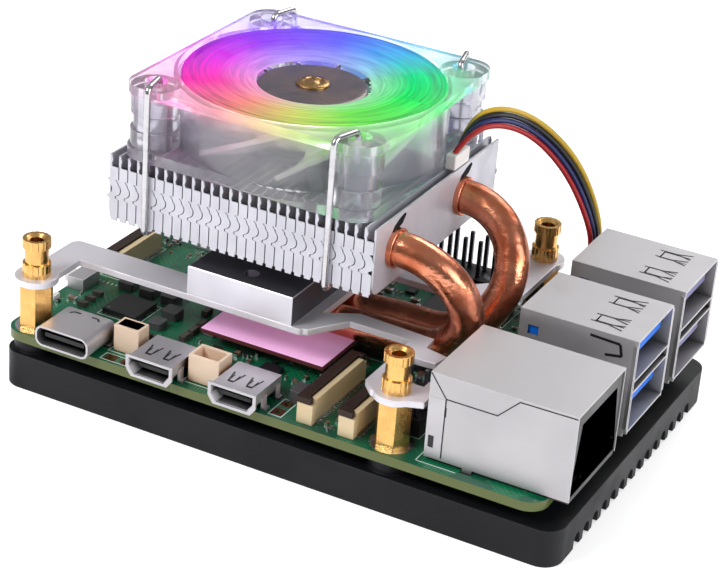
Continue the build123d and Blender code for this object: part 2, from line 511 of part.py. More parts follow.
frame -= rod(FAN_CX, FAN_CY, FAN_BORE_D, FAN_Z0 - 1, FAN_Z1 + 1)
for x, y in post_xy:
    frame -= rod(x, y, 3.3, FAN_Z0 - 1, FAN_Z1 + 1)
frame += rod(FAN_CX, FAN_CY, 17.0, FAN_Z0, FAN_Z0 + 1.1)
for i in range(4):
    arm = Pos(13.5, 0, FAN_Z0 + 0.55) * Box(12.0, 1.8, 1.1)
    frame += Pos(FAN_CX, FAN_CY, 0) * Rot(0, 0, 32 + 90 * i) * arm
frame += rod(FAN_CX, FAN_CY, 5.4, FAN_Z0, 34.2)
frame -= rod(FAN_CX, FAN_CY, BEARING_D + 0.04, FAN_Z0 + 1.1, 40)
save("fan_frame", frame)

bearing = rod(FAN_CX, FAN_CY, BEARING_D, FAN_Z0 + 1.12, 34.2)
bearing -= rod(FAN_CX, FAN_CY, BEARING_BORE_D, FAN_Z0, 40)
save("fan_bearing", bearing)

board_z = FAN_Z0 + 1.12
fan_board = rod(FAN_CX, FAN_CY, 16.6, board_z, board_z + 0.5)
fan_board -= rod(FAN_CX, FAN_CY, 5.5, board_z - 1, board_z + 2)
for i in range(4):
    a = math.radians(45 + 90 * i)
    lx, ly = FAN_CX + 7.3 * math.cos(a), FAN_CY + 7.3 * math.sin(a)
    fan_board += Pos(lx, ly, board_z + 0.72) * Rot(0, 0, 45 + 90 * i) * Box(1.0, 1.0, 0.5)
save("fan_board", fan_board)

# ---------------------------------------------------------------- fan motor
core = rod(FAN_CX, FAN_CY, 7.4, 30.2, 33.4)
windings = []
for i in range(4):
    turn = Pos(FAN_CX, FAN_CY, 0) * Rot(0, 0, 90 * i)
    core += turn * block(2.8, 5.4, -0.8, 0.8, 30.2, 33.4)
    shoe = rod(0, 0, 11.8, 30.2, 33.4) - rod(0, 0, 10.2, 29, 35)
    core += turn * (shoe & block(2, 8, -2.9, 2.9, 30.2, 33.4))
    coil = block(3.85, 4.7, -1.7, 1.7, 29.8, 33.8) - block(3, 6, -0.84, 0.84, 30.16, 33.44)
    windings.append(turn * coil)
core -= rod(FAN_CX, FAN_CY, 5.44, 29, 35)
save("stator_core", core)
save("stator_windings", group(windings))

hub = rod(FAN_CX, FAN_CY, HUB_D, HUB_BOTTOM, HUB_TOP)
hub = fillet(hub.edges().group_by(Axis.Z)[-1], 1.0)
hub -= rod(FAN_CX, FAN_CY, 14.6, HUB_BOTTOM - 1, 35.2)
hub -= rod(FAN_CX, FAN_CY, 4.84, 35, 40)
blade_z0, blade_z1 = 29.2, 36.0
for i in range(BLADES):
    inner_r, outer_r = HUB_D / 2 - 0.3, ROTOR_D / 2
    lower = []
    upper = []
    for step in range(7):
        t = step / 6
        r = inner_r + (outer_r - inner_r) * t
        sweep_back = 16 * t
        lower.append((r, -19 - sweep_back))
        upper.append((r, 17 - sweep_back * 0.4))
    sections = []
    for (r, a0), (_, a1) in zip(lower, upper):
        p0 = Vector(r * math.cos(math.radians(a0)), r * math.sin(math.radians(a0)), blade_z0)
        p1 = Vector(r * math.cos(math.radians(a1)), r * math.sin(math.radians(a1)), blade_z1)
        sections.append((p0, p1))
    edge_low = Spline(*[p for p, _ in sections])
    edge_high = Spline(*[p for _, p in sections])
    skin = Face.make_surface_from_curves(edge_low, edge_high)
    blade = Solid.thicken(skin, BLADE_T)
    hub += Pos(FAN_CX, FAN_CY, 0) * Rot(0, 0, i * 360 / BLADES) * blade
save("fan_rotor", hub)

magnet = rod(FAN_CX, FAN_CY, 14.56, 29.8, 34.6) - rod(FAN_CX, FAN_CY, 12.6, 29, 35)
save("rotor_magnet", magnet)
bushing = rod(FAN_CX, FAN_CY, 4.8, 34.9, 36.7) - rod(FAN_CX, FAN_CY, SHAFT_D, 34, 36.2)
save("rotor_bushing", bushing)
save("rotor_shaft", rod(FAN_CX, FAN_CY, SHAFT_D, FAN_Z0 + 1.6, 36.2))

# ---------------------------------------------------------------- wire clips
clips = []
rear_y = fan_y1 + 0.2 + CLIP_WIRE_D / 2
front_y = min(fan_y0, FIN_Y0) - 0.2 - CLIP_WIRE_D / 2
for x_run, x_post in ((17.9, 16.9), (46.9, 48.1)):
    over, under = FAN_Z1 + CLIP_WIRE_D / 2 + 0.1, FIN_Z0 - CLIP_WIRE_D / 2 - 0.05
    front_post, rear_post = FAN_CY - FAN_POST_OFFSET + 0.3, FAN_CY + FAN_POST_OFFSET - 0.3
    with BuildLine() as wire:
        FilletPolyline((x_post, front_post, 34.6), (x_post, front_post, over), (x_run, front_y, over),
                       (x_run, front_y, under), (x_run, rear_y, under), (x_run, rear_y, over),
                       (x_post, rear_post, over), (x_post, rear_post, 34.6), radius=0.95)
    start = Plane(origin=wire.line @ 0, z_dir=wire.line % 0)
    clips.append(sweep(start * Circle(CLIP_WIRE_D / 2), path=wire.line))
save("fan_clips", group(clips))


# ---------------------------------------------------------------- fan lead, its grommet and its plug
grommet = block(52.28, 53.9, 33.2, 38.0, FAN_Z0 + 0.14, 29.5)
save("lead_grommet", grommet)
plug_x, plug_y, plug_top = 68.2, 52.0, 5.2
plug = block(plug_x - 1.0, plug_x + 1.0, plug_y - 2.4, plug_y + 2.4, 0.8, plug_top)
for side in (-1, 1):
    plug += block(plug_x - 1.25, plug_x + 1.25, plug_y + side * 1.9 - 0.4, plug_y + side * 1.9 + 0.4, 3.5, plug_top - 0.4)
save("fan_plug", plug)

# Points of the lead in the board frame, each with the direction in which the four wires lie side by side.
LEAD_ROUTE = [
    ((53.00, 35.50, 29.5), (-0.15, 0.99, 0.00)),
    ((54.20, 36.80, 33.4), (-0.50, 0.75, 0.43)),
    ((57.40, 40.30, 34.4), (-0.25, 0.45, 0.86)),
    ((61.20, 44.60, 31.8), (0.10, 0.35, 0.93)),
    ((65.20, 48.80, 26.0), (0.40, 0.55, 0.73)),
    ((67.90, 51.70, 19.0), (0.30, 0.87, 0.40)),
    ((69.30, 53.20, 12.6), (0.10, 0.99, 0.10)),
    ((68.20, 52.00, 8.2), (0.00, 1.00, 0.00)),
    ((68.20, 52.00, plug_top), (0.00, 1.00, 0.00)),
]
LEAD_WIRES = (("fan_wire_red", -1.5), ("fan_wire_blue", -0.5), ("fan_wire_black", 0.5), ("fan_wire_yellow", 1.5))


def soft_route(points):
    """Straight runs joined by tangent arcs as large as the runs allow; gives the wire, length and radii."""
    edges = []
    radii = []
    here = points[0]
    for before, corner, after in zip(points, points[1:], points[2:]):
        into, out = (corner - before).normalized(), (after - corner).normalized()
        turn = math.radians(into.get_angle(out))
        shorter = min((corner - before).length, (after - corner).length)
        radius = 0.45 * shorter / math.tan(turn / 2)
        reach = 0.45 * shorter
        first, last = corner - into * reach, corner + out * reach
        inward = (out - into).normalized()
        mid = corner + inward * (math.hypot(radius, reach) - radius)
        edges.append(Line(here, first))
        edges.append(ThreePointArc(first, mid, last))
        radii.append(radius)
        here = last
    edges.append(Line(here, points[-1]))
    return Wire(edges), sum(e.length for e in edges), radii


for name, place in LEAD_WIRES:
    route = [Vector(*p) + Vector(*d) * (place * LEAD_PITCH) for p, d in LEAD_ROUTE]
    path, length, radii = soft_route(route)
    start = Plane(origin=route[0], z_dir=route[1] - route[0])
    wire = sweep(start * Circle(LEAD_D / 2), path=path)
    save(name, wire)
    full = math.pi * LEAD_D ** 2 / 4 * length
    print(f"  length {length:.2f} mm, section x length {full:.2f} mm3, volume {wire.volume:.2f} mm3")
    print("  radii", [round(r, 1) for r in radii])
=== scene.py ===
"""Looks for a single board computer with a heat pipe tower cooler, built around its packed CAD frame.

Lengths in the code are millimetres in the board frame (X along the front edge, Y to the rear,
Z = 0 on the top face of the board) and become metres in the part frame through at().
"""
import json
import math
import random

import bmesh
import bpy
from bpy.props import FloatProperty, FloatVectorProperty, PointerProperty
from bpy.types import Operator, Panel, PropertyGroup
from mathutils import Matrix, Vector


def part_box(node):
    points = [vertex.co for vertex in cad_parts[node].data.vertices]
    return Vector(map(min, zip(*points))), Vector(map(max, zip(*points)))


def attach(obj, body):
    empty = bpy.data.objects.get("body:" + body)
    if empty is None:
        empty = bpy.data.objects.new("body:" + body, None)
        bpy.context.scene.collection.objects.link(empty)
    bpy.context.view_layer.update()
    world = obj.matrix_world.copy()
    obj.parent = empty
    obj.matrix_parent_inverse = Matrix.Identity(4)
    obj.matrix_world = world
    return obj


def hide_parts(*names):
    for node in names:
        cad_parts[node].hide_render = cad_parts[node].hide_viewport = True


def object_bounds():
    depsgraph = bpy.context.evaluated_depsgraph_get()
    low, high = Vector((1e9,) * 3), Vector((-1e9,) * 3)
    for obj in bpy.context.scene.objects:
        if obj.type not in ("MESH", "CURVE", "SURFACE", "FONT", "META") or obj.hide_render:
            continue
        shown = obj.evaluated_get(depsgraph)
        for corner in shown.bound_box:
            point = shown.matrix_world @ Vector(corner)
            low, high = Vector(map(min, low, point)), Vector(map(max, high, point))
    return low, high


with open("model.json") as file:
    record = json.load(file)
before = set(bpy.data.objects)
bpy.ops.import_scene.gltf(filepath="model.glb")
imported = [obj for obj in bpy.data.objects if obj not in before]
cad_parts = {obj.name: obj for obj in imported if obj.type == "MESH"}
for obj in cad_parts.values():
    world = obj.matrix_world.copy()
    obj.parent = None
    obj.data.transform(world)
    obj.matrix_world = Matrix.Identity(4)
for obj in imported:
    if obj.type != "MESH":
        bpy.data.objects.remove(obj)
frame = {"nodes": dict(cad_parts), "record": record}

bl_info = {
    "name": "Cooled Board Computer",
    "version": (1, 0, 0),
    "blender": (4, 5, 0),
    "location": "3D View > Sidebar > Board",
    "description": "Builds the looks of a single board computer with a tower cooler around its CAD frame",
    "category": "Object",
}

MM = 0.001
CAD_LOW, CAD_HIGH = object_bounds()
BOARD_LOW, BOARD_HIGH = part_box("circuit_board")
BOARD_CORNER = Vector((BOARD_LOW.x, BOARD_LOW.y, BOARD_HIGH.z))
ROOT = "computer"
LEAD_DIAMETER, LEAD_PITCH = 0.8, 0.84
CORNER_HOLES = [(x, y) for x in (3.5, 61.5) for y in (3.5, 52.5)]


def at(x, y, z):
    """Board frame millimetres to part frame metres."""
    return BOARD_CORNER + Vector((x, y, z)) * MM


def board_box(node):
    """A CAD node's box in board frame millimetres: x0, x1, y0, y1, z0, z1."""
    low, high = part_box(node)
    a, b = (low - BOARD_CORNER) / MM, (high - BOARD_CORNER) / MM
    return a.x, b.x, a.y, b.y, a.z, b.z


# ---------------------------------------------------------------- settings
class CoolerSettings(PropertyGroup):
    """Sizes and colours that a user would change."""

    edge_round: FloatProperty(
        name="Edge rounding", description="Width of the broken edge on machined parts",
        default=0.12 * MM, min=0.0, unit="LENGTH")
    fin_seam: FloatProperty(
        name="Fin seam", description="Gap between neighbouring fin flanges",
        default=0.17 * MM, min=0.02 * MM, unit="LENGTH")
    glow: FloatProperty(
        name="Glow", description="Strength of the light from the fan's rotor", default=1.0, min=0.0)
    print_width: FloatProperty(
        name="Print line", description="Width of the printed lines on the board",
        default=0.15 * MM, min=0.02 * MM, unit="LENGTH")
    board_colour: FloatVectorProperty(
        name="Board colour", description="Colour of the board's solder mask",
        subtype="COLOR", default=(0.003, 0.110, 0.050), min=0.0, max=1.0)
    copper_colour: FloatVectorProperty(
        name="Copper colour", description="Colour of the heat pipes",
        subtype="COLOR", default=(0.80, 0.27, 0.14), min=0.0, max=1.0)
    brass_colour: FloatVectorProperty(
        name="Brass colour", description="Colour of the posts and thumb nuts",
        subtype="COLOR", default=(0.86, 0.52, 0.18), min=0.0, max=1.0)


def settings():
    return bpy.context.scene.cooler_settings


# ---------------------------------------------------------------- node helpers
def add(tree, kind, inputs=None, **values):
    """A shader node with its settings, and its inputs set or linked."""
    node = tree.nodes.new(kind)
    for key, value in values.items():
        setattr(node, key, value)
    for key, value in (inputs or {}).items():
        if isinstance(value, bpy.types.NodeSocket):
            tree.links.new(value, node.inputs[key])
        else:
            node.inputs[key].default_value = value
    return node


def maths(tree, operation, a, b=0.5, clamp=False):
    return add(tree, "ShaderNodeMath", {0: a, 1: b}, operation=operation, use_clamp=clamp).outputs[0]


def spread(tree, value, low, high, to_low=0.0, to_high=1.0):
    """Maps a value from one range to another, held at its ends."""
    inputs = {"Value": value, "From Min": low, "From Max": high, "To Min": to_low, "To Max": to_high}
    return add(tree, "ShaderNodeMapRange", inputs, clamp=True).outputs["Result"]


def blend_colour(tree, factor, a, b, mode="MIX"):
    node = add(tree, "ShaderNodeMix", {"Factor": factor}, data_type="RGBA", blend_type=mode)
    for socket, value in ((node.inputs[6], a), (node.inputs[7], b)):
        if isinstance(value, bpy.types.NodeSocket):
            tree.links.new(value, socket)
        else:
            socket.default_value = (*value, 1.0)
    return node.outputs[2]


def place(tree, scale=(1, 1, 1), location=(0, 0, 0), rotation=(0, 0, 0)):
    """Object coordinates, moved, turned and scaled."""
    coords = add(tree, "ShaderNodeTexCoord").outputs["Object"]
    inputs = {"Vector": coords, "Scale": scale, "Location": location, "Rotation": rotation}
    return add(tree, "ShaderNodeMapping", inputs).outputs["Vector"]


def noise(tree, vector, scale, detail=3.0, roughness=0.55):
    inputs = {"Vector": vector, "Scale": scale, "Detail": detail, "Roughness": roughness}
    return add(tree, "ShaderNodeTexNoise", inputs).outputs["Fac"]


def effect_group(name, inputs, outputs, build):
    """A shader node group with named inputs and outputs, built once."""
    if name in bpy.data.node_groups:
        return bpy.data.node_groups[name]
    tree = bpy.data.node_groups.new(name, "ShaderNodeTree")
    for label, kind, default in inputs:
        socket = tree.interface.new_socket(label, in_out="INPUT", socket_type=kind)
        socket.default_value = default
    for label, kind in outputs:
        tree.interface.new_socket(label, in_out="OUTPUT", socket_type=kind)
    source = tree.nodes.new("NodeGroupInput").outputs
    sink = tree.nodes.new("NodeGroupOutput").inputs
    for label, socket in build(tree, source).items():
        tree.links.new(socket, sink[label])
    return tree


def use_group(tree, group, **inputs):
    node = tree.nodes.new("ShaderNodeGroup")
    node.node_tree = group
    for key, value in inputs.items():
        node.inputs[key.replace("_", " ")].default_value = value
    return node.outputs


# ---------------------------------------------------------------- shared effects
def surface_grain():
    """Fine speckle and soft smudges, as masks from 0 to 1."""
    def build(tree, source):
        coords = place(tree)
        fine = noise(tree, coords, source["Grain scale"], 4.0, 0.65)
        broad = noise(tree, coords, source["Smudge scale"], 2.0, 0.5)
        return {"Grain": spread(tree, fine, 0.3, 0.7), "Smudge": spread(tree, broad, 0.35, 0.65)}
    inputs = [("Grain scale", "NodeSocketFloat", 4000.0), ("Smudge scale", "NodeSocketFloat", 120.0)]
    return effect_group("Surface grain", inputs,
                        [("Grain", "NodeSocketFloat"), ("Smudge", "NodeSocketFloat")], build)


def brushed_lines():
    """Long fine scratches along one axis, as a mask from 0 to 1."""
    def build(tree, source):
        coords = add(tree, "ShaderNodeTexCoord").outputs["Object"]
        squeezed = add(tree, "ShaderNodeVectorMath", {0: coords, 1: source["Stretch"]},
                       operation="MULTIPLY")
        lines = noise(tree, squeezed.outputs[0], 1.0, 5.0, 0.7)
        return {"Lines": spread(tree, lines, 0.3, 0.7)}
    inputs = [("Stretch", "NodeSocketVector", (300.0, 9000.0, 9000.0))]
    return effect_group("Brushed lines", inputs, [("Lines", "NodeSocketFloat")], build)


def worn_and_lit_edges():
    """A mask that is 1 on sharp outer edges, broken up by grain."""
    def build(tree, source):
        bevel = add(tree, "ShaderNodeBevel", {"Radius": source["Radius"]}, samples=4)
        plain = add(tree, "ShaderNodeNewGeometry").outputs["Normal"]
        dot = add(tree, "ShaderNodeVectorMath", {0: bevel.outputs[0], 1: plain}, operation="DOT_PRODUCT")
        edge = spread(tree, dot.outputs["Value"], 0.995, 0.85)
        broken = spread(tree, noise(tree, place(tree), source["Break scale"], 4.0, 0.7), 0.35, 0.6)
        return {"Edge": maths(tree, "MULTIPLY", edge, broken)}
    inputs = [("Radius", "NodeSocketFloat", 0.0001), ("Break scale", "NodeSocketFloat", 900.0)]
    return effect_group("Worn and lit edges", inputs, [("Edge", "NodeSocketFloat")], build)


def recess_shade_mask(tree, reach, low, high):
    """A mask that is 1 where walls less than reach millimetres off close in."""
    shade = add(tree, "ShaderNodeAmbientOcclusion", {"Distance": reach * MM}, samples=6).outputs["AO"]
    return spread(tree, shade, low, high)


def facing(tree):
    """The surface's normal, one number for each axis."""
    return add(tree, "ShaderNodeSeparateXYZ",
               {0: add(tree, "ShaderNodeNewGeometry").outputs["Normal"]}).outputs


def raised(tree, height, depth, under=None):
    """A bump from a height mask, depth in millimetres, on top of another one where it is given."""
    inputs = {"Height": height, "Strength": 1.0, "Distance": depth * MM}
    if under is not None:
        inputs["Normal"] = under
    return add(tree, "ShaderNodeBump", inputs).outputs[0]


def fill_shader(tree, shader, colour, rough=None, normal=None, glow=None, alpha=None, **plain):
    """Links what varies over the surface, and sets plain values on the shader's own sockets."""
    links = {"Base Color": colour, "Roughness": rough, "Normal": normal, "Emission Color": glow,
             "Alpha": alpha}
    for label, source in links.items():
        if source is not None:
            tree.links.new(source, shader.inputs[label])
    for label, value in plain.items():
        shader.inputs[label.replace("_", " ")].default_value = value


def named_finish(name, build):
    """The material of that name, built the first time that it is asked for."""
    name = f"{name}_finish"
    material = bpy.data.materials.get(name)
    if material is None:
        material = bpy.data.materials.new(name)
        material.use_nodes = True
        build(material.node_tree, material.node_tree.nodes["Principled BSDF"])
    return material


def own_finish(build):
    """Turns a function that fills a shader into one that hands back its material."""
    def finish():
        return named_finish(build.__name__, build)
    finish.__doc__ = build.__doc__
    return finish


def finish_material(name, colour, roughness, metallic=0.0, tint=None, grain=4000.0, smudge=120.0,
                    grain_bump=0.02, grain_mix=0.15, smudge_rough=0.08, brushed=None, brush_bump=0.03,
                    wear=None, wear_radius=0.0001, coat=0.0, specular=0.5, subsurface=0.0, recess_shade_reach=0.0):
    """The common finish: colour variation, smudged roughness, fine bump, and optional brushing and wear."""
    def build(tree, shader):
        masks = use_group(tree, surface_grain(), Grain_scale=grain, Smudge_scale=smudge)
        dim = tint or tuple(c * 0.72 for c in colour)
        base = blend_colour(tree, maths(tree, "MULTIPLY", masks["Grain"], grain_mix), colour, dim)
        base = blend_colour(tree, maths(tree, "MULTIPLY", masks["Smudge"], 0.25), base, dim)
        rough = spread(tree, masks["Smudge"], 0.0, 1.0, roughness - smudge_rough, roughness + smudge_rough)
        height, depth = masks["Grain"], grain_bump
        if brushed:
            height, depth = use_group(tree, brushed_lines(), Stretch=brushed)["Lines"], brush_bump
            rough = maths(tree, "ADD", rough, maths(tree, "MULTIPLY", height, 0.10))
        # Sharp edges lightened to the edge colour: partly real wear, partly a painted highlight.
        if wear:
            base = blend_colour(tree, use_group(tree, worn_and_lit_edges(), Radius=wear_radius)["Edge"], base, wear)
        # Painted shade: the colour darkens to near black where walls close in.
        if recess_shade_reach:
            base = blend_colour(tree, recess_shade_mask(tree, recess_shade_reach, 0.55, 0.26), base, (0.008, 0.008, 0.011))
        fill_shader(tree, shader, base, rough, raised(tree, height, depth), Metallic=metallic,
                    Coat_Weight=coat, Coat_Roughness=0.12, Specular_IOR_Level=specular)
        if subsurface:
            fill_shader(tree, shader, None, Subsurface_Weight=subsurface, Subsurface_Scale=0.5 * MM)
    return named_finish(name, build)


# ---------------------------------------------------------------- materials
# The edge colours below lighten sharp edges: partly real wear, partly a painted highlight.
def black_anodised():
    return finish_material("black_anodised", (0.0045, 0.0045, 0.0065), 0.50, tint=(0.007, 0.007, 0.010),
                           grain=5000.0, grain_bump=0.012, wear=(0.03, 0.03, 0.036), wear_radius=0.0003,
                           specular=0.25)


# Both nickel sheet finishes get painted shade where walls close in.
def nickel():
    return finish_material("nickel_sheet", (0.56, 0.54, 0.565), 0.38, 0.80, tint=(0.50, 0.49, 0.52),
                           smudge=160.0, brushed=(9000.0, 260.0, 9000.0), brush_bump=0.004,
                           wear=(0.80, 0.80, 0.82), recess_shade_reach=3.0)


def nickel_long():
    return finish_material("nickel_sheet_long", (0.53, 0.515, 0.53), 0.42, 0.75, tint=(0.49, 0.48, 0.51),
                           smudge=110.0, brushed=(260.0, 9000.0, 9000.0), brush_bump=0.004,
                           wear=(0.80, 0.80, 0.82), recess_shade_reach=5.0)


def satin_aluminium():
    return finish_material("satin_aluminium", (0.80, 0.775, 0.83), 0.42, 0.50, tint=(0.70, 0.68, 0.74),
                           grain=6000.0, brushed=(400.0, 8000.0, 8000.0), brush_bump=0.004,
                           wear=(0.97, 0.97, 0.98))


def fin_aluminium():
    return finish_material("fin_aluminium", (0.64, 0.635, 0.70), 0.44, 0.45, tint=(0.52, 0.52, 0.58),
                           grain=5000.0, smudge=300.0, grain_bump=0.004)


def deep_shadow():
    return finish_material("fold_shadow", (0.010, 0.010, 0.014), 0.7, specular=0.1)


def screw_steel():
    return finish_material("screw_steel", (0.42, 0.42, 0.44), 0.28, 1.0, grain=7000.0,
                           wear=(0.8, 0.8, 0.82))


def spring_wire():
    return finish_material("spring_wire", (0.62, 0.61, 0.63), 0.16, 1.0, tint=(0.42, 0.41, 0.43),
                           smudge=700.0, brushed=(8000.0, 8000.0, 500.0), brush_bump=0.003)


def gold_brass():
    colour = tuple(settings().brass_colour)
    return finish_material("gold_brass", colour, 0.20, 1.0, tint=(0.50, 0.24, 0.06), smudge=420.0,
                           brushed=(8000.0, 8000.0, 700.0), brush_bump=0.005, wear=(0.95, 0.70, 0.34))


def bearing_brass():
    return finish_material("bearing_brass", (0.50, 0.30, 0.12), 0.22, 1.0, smudge=600.0,
                           wear=(0.95, 0.8, 0.5))


def contact_gold():
    return finish_material("contact_gold", (0.92, 0.68, 0.28), 0.24, 1.0, smudge=900.0)


def solder_tin():
    return finish_material("solder_tin", (0.70, 0.70, 0.71), 0.22, 1.0, smudge=900.0, grain_bump=0.02)


def pin_metal():
    return finish_material("pin_metal", (0.10, 0.10, 0.13), 0.30, 0.9, tint=(0.05, 0.05, 0.08),
                           smudge=700.0, wear=(0.45, 0.42, 0.38))


@own_finish
def polished_copper(tree, shader):
    """Drawn tube: long soft waves, a darker flush of oxide and small dents."""
    masks = use_group(tree, surface_grain(), Grain_scale=2600.0, Smudge_scale=170.0)
    waves_and_highlight = spread(tree, noise(tree, place(tree, (0.45, 1.0, 0.8)), 420.0, 3.0, 0.55), 0.3, 0.7)
    base = blend_colour(tree, masks["Smudge"], tuple(settings().copper_colour), (0.46, 0.115, 0.05))
    # Painted highlight: the colour turns pale pink along the waves.
    base = blend_colour(tree, maths(tree, "MULTIPLY", waves_and_highlight, 0.35), base, (0.95, 0.48, 0.34))
    fill_shader(tree, shader, base, spread(tree, masks["Smudge"], 0.0, 1.0, 0.20, 0.34),
                raised(tree, masks["Grain"], 0.006, raised(tree, waves_and_highlight, 0.12)), Metallic=1.0)


def plastic(name, colour, roughness=0.42, **more):
    return finish_material(name, colour, roughness, **{"grain": 6000.0, "grain_bump": 0.008, **more})


def port_black():
    return plastic("port_black", (0.006, 0.006, 0.007), 0.4)


def chip_black():
    return plastic("chip_epoxy", (0.012, 0.012, 0.014), 0.46, grain_bump=0.012, wear=(0.05, 0.05, 0.055))


def header_black():
    return plastic("header_black", (0.010, 0.010, 0.012), 0.38, wear=(0.06, 0.06, 0.065))


def fast_blue():
    return plastic("fast_blue", (0.004, 0.15, 0.72), 0.42, specular=0.15)


def slow_grey():
    return plastic("slow_grey", (0.22, 0.21, 0.36), 0.45, specular=0.15)


def tan_nylon():
    return plastic("tan_nylon", (0.72, 0.58, 0.36), 0.44, tint=(0.62, 0.46, 0.25), subsurface=0.15)


def latch_brown():
    return plastic("latch_brown", (0.034, 0.019, 0.014), 0.42, tint=(0.022, 0.012, 0.009),
                   wear=(0.12, 0.07, 0.055), specular=0.25)


def white_nylon():
    return plastic("white_nylon", (0.84, 0.82, 0.80), 0.4, subsurface=0.15)


@own_finish
def cream_nylon(tree, shader):
    """Cream outside, amber where the walls close in on each other."""
    masks = use_group(tree, surface_grain(), Grain_scale=5000.0, Smudge_scale=250.0)
    base = blend_colour(tree, maths(tree, "MULTIPLY", masks["Grain"], 0.12), (0.86, 0.66, 0.50),
                        (0.74, 0.52, 0.36))
    # Painted shade: amber where the walls close in.
    base = blend_colour(tree, recess_shade_mask(tree, 2.5, 0.62, 0.22), base, (0.55, 0.23, 0.07))
    fill_shader(tree, shader, base, spread(tree, masks["Smudge"], 0, 1, 0.34, 0.5),
                raised(tree, masks["Grain"], 0.006))


@own_finish
def milled_block(tree, shader):
    """Bright milled sides under a dark top face that is rubbed pale here and there."""
    masks = use_group(tree, surface_grain(), Grain_scale=6000.0, Smudge_scale=180.0)
    normal = facing(tree)
    # Faces that point up or towards +X take the dark colour.
    dark = maths(tree, "MAXIMUM", spread(tree, normal["Z"], 0.8, 0.95),
                 spread(tree, normal["X"], 0.8, 0.95))
    bright = blend_colour(tree, maths(tree, "MULTIPLY", masks["Smudge"], 0.3), (0.78, 0.76, 0.84),
                          (0.66, 0.65, 0.72))
    deep = blend_colour(tree, maths(tree, "MULTIPLY", masks["Grain"], 0.3), (0.085, 0.082, 0.10),
                        (0.13, 0.128, 0.15))
    lines = use_group(tree, brushed_lines(), Stretch=(400.0, 8000.0, 8000.0))["Lines"]
    fill_shader(tree, shader, blend_colour(tree, dark, bright, deep),
                spread(tree, masks["Smudge"], 0, 1, 0.30, 0.42),
                raised(tree, lines, 0.004), Metallic=0.5)


@own_finish
def thermal_pink(tree, shader):
    """Soft pad: pink top, dark red-brown cut sides."""
    masks = use_group(tree, surface_grain(), Grain_scale=3500.0, Smudge_scale=200.0)
    pink = blend_colour(tree, maths(tree, "MULTIPLY", masks["Grain"], 0.25), (1.0, 0.56, 0.90),
                        (0.95, 0.46, 0.80))
    # Painted shade: faces turned away from up go dark red-brown.
    base = blend_colour(tree, spread(tree, facing(tree)["Z"], 0.2, 0.8), (0.10, 0.018, 0.020), pink)
    # Painted glow: the pad gives off its own colour faintly.
    fill_shader(tree, shader, base, spread(tree, masks["Smudge"], 0, 1, 0.55, 0.7),
                raised(tree, masks["Grain"], 0.02),
                glow=base, Emission_Strength=0.16)


def print_white():
    return finish_material("print_white", (0.75, 0.85, 0.80), 0.5, grain=6000.0, grain_mix=0.4,
                           tint=(0.35, 0.55, 0.45))


def plated_red():
    return finish_material("plated_hole", (0.11, 0.016, 0.008), 0.35, 0.5, grain=6000.0)


@own_finish
def solder_mask(tree, shader):
    """Glossy green mask over faint copper tracks and vias, on an olive laminate edge."""
    deep = tuple(settings().board_colour)
    bright = (deep[0] + 0.006, deep[1] * 1.9, deep[2] * 1.7)
    coords = place(tree)
    cells = add(tree, "ShaderNodeTexVoronoi", {"Vector": coords, "Scale": 190.0}, distance="CHEBYCHEV")
    pick = add(tree, "ShaderNodeSeparateColor", {0: cells.outputs["Color"]}).outputs
    tracks = None
    for axis, choice in (("X", pick["Red"]), ("Y", pick["Green"]), ("DIAGONAL", pick["Blue"])):
        wave = add(tree, "ShaderNodeTexWave", {"Vector": coords, "Scale": 620.0}, wave_type="BANDS",
                   bands_direction=axis, wave_profile="SIN").outputs["Fac"]
        lines = maths(tree, "MULTIPLY", spread(tree, wave, 0.62, 0.75), spread(tree, choice, 0.62, 0.66))
        tracks = lines if tracks is None else maths(tree, "MAXIMUM", tracks, lines)
    vias = add(tree, "ShaderNodeTexVoronoi", {"Vector": coords, "Scale": 520.0}).outputs["Distance"]
    dots = spread(tree, vias, 0.17, 0.13)
    masks = use_group(tree, surface_grain(), Grain_scale=5000.0, Smudge_scale=90.0)
    green = blend_colour(tree, masks["Smudge"], deep, (deep[0], deep[1] * 0.62, deep[2] * 0.75))
    green = blend_colour(tree, maths(tree, "MULTIPLY", tracks, 0.75), green, bright)
    green = blend_colour(tree, maths(tree, "MULTIPLY", dots, 0.6), green, (0.10, 0.22, 0.12))
    flat = spread(tree, maths(tree, "ABSOLUTE", facing(tree)["Z"]), 0.4, 0.75)
    layers = add(tree, "ShaderNodeTexWave", {"Vector": coords, "Scale": 900.0, "Distortion": 0.6},
                 wave_type="BANDS", bands_direction="Z").outputs["Fac"]
    edge = blend_colour(tree, maths(tree, "MULTIPLY", layers, 0.45), (0.115, 0.125, 0.030),
                        (0.055, 0.14, 0.030))
    height = maths(tree, "ADD", tracks, maths(tree, "MULTIPLY", masks["Grain"], 0.15))
    fill_shader(tree, shader, blend_colour(tree, flat, edge, green),
                spread(tree, masks["Smudge"], 0, 1, 0.26, 0.38),
                raised(tree, height, 0.012))


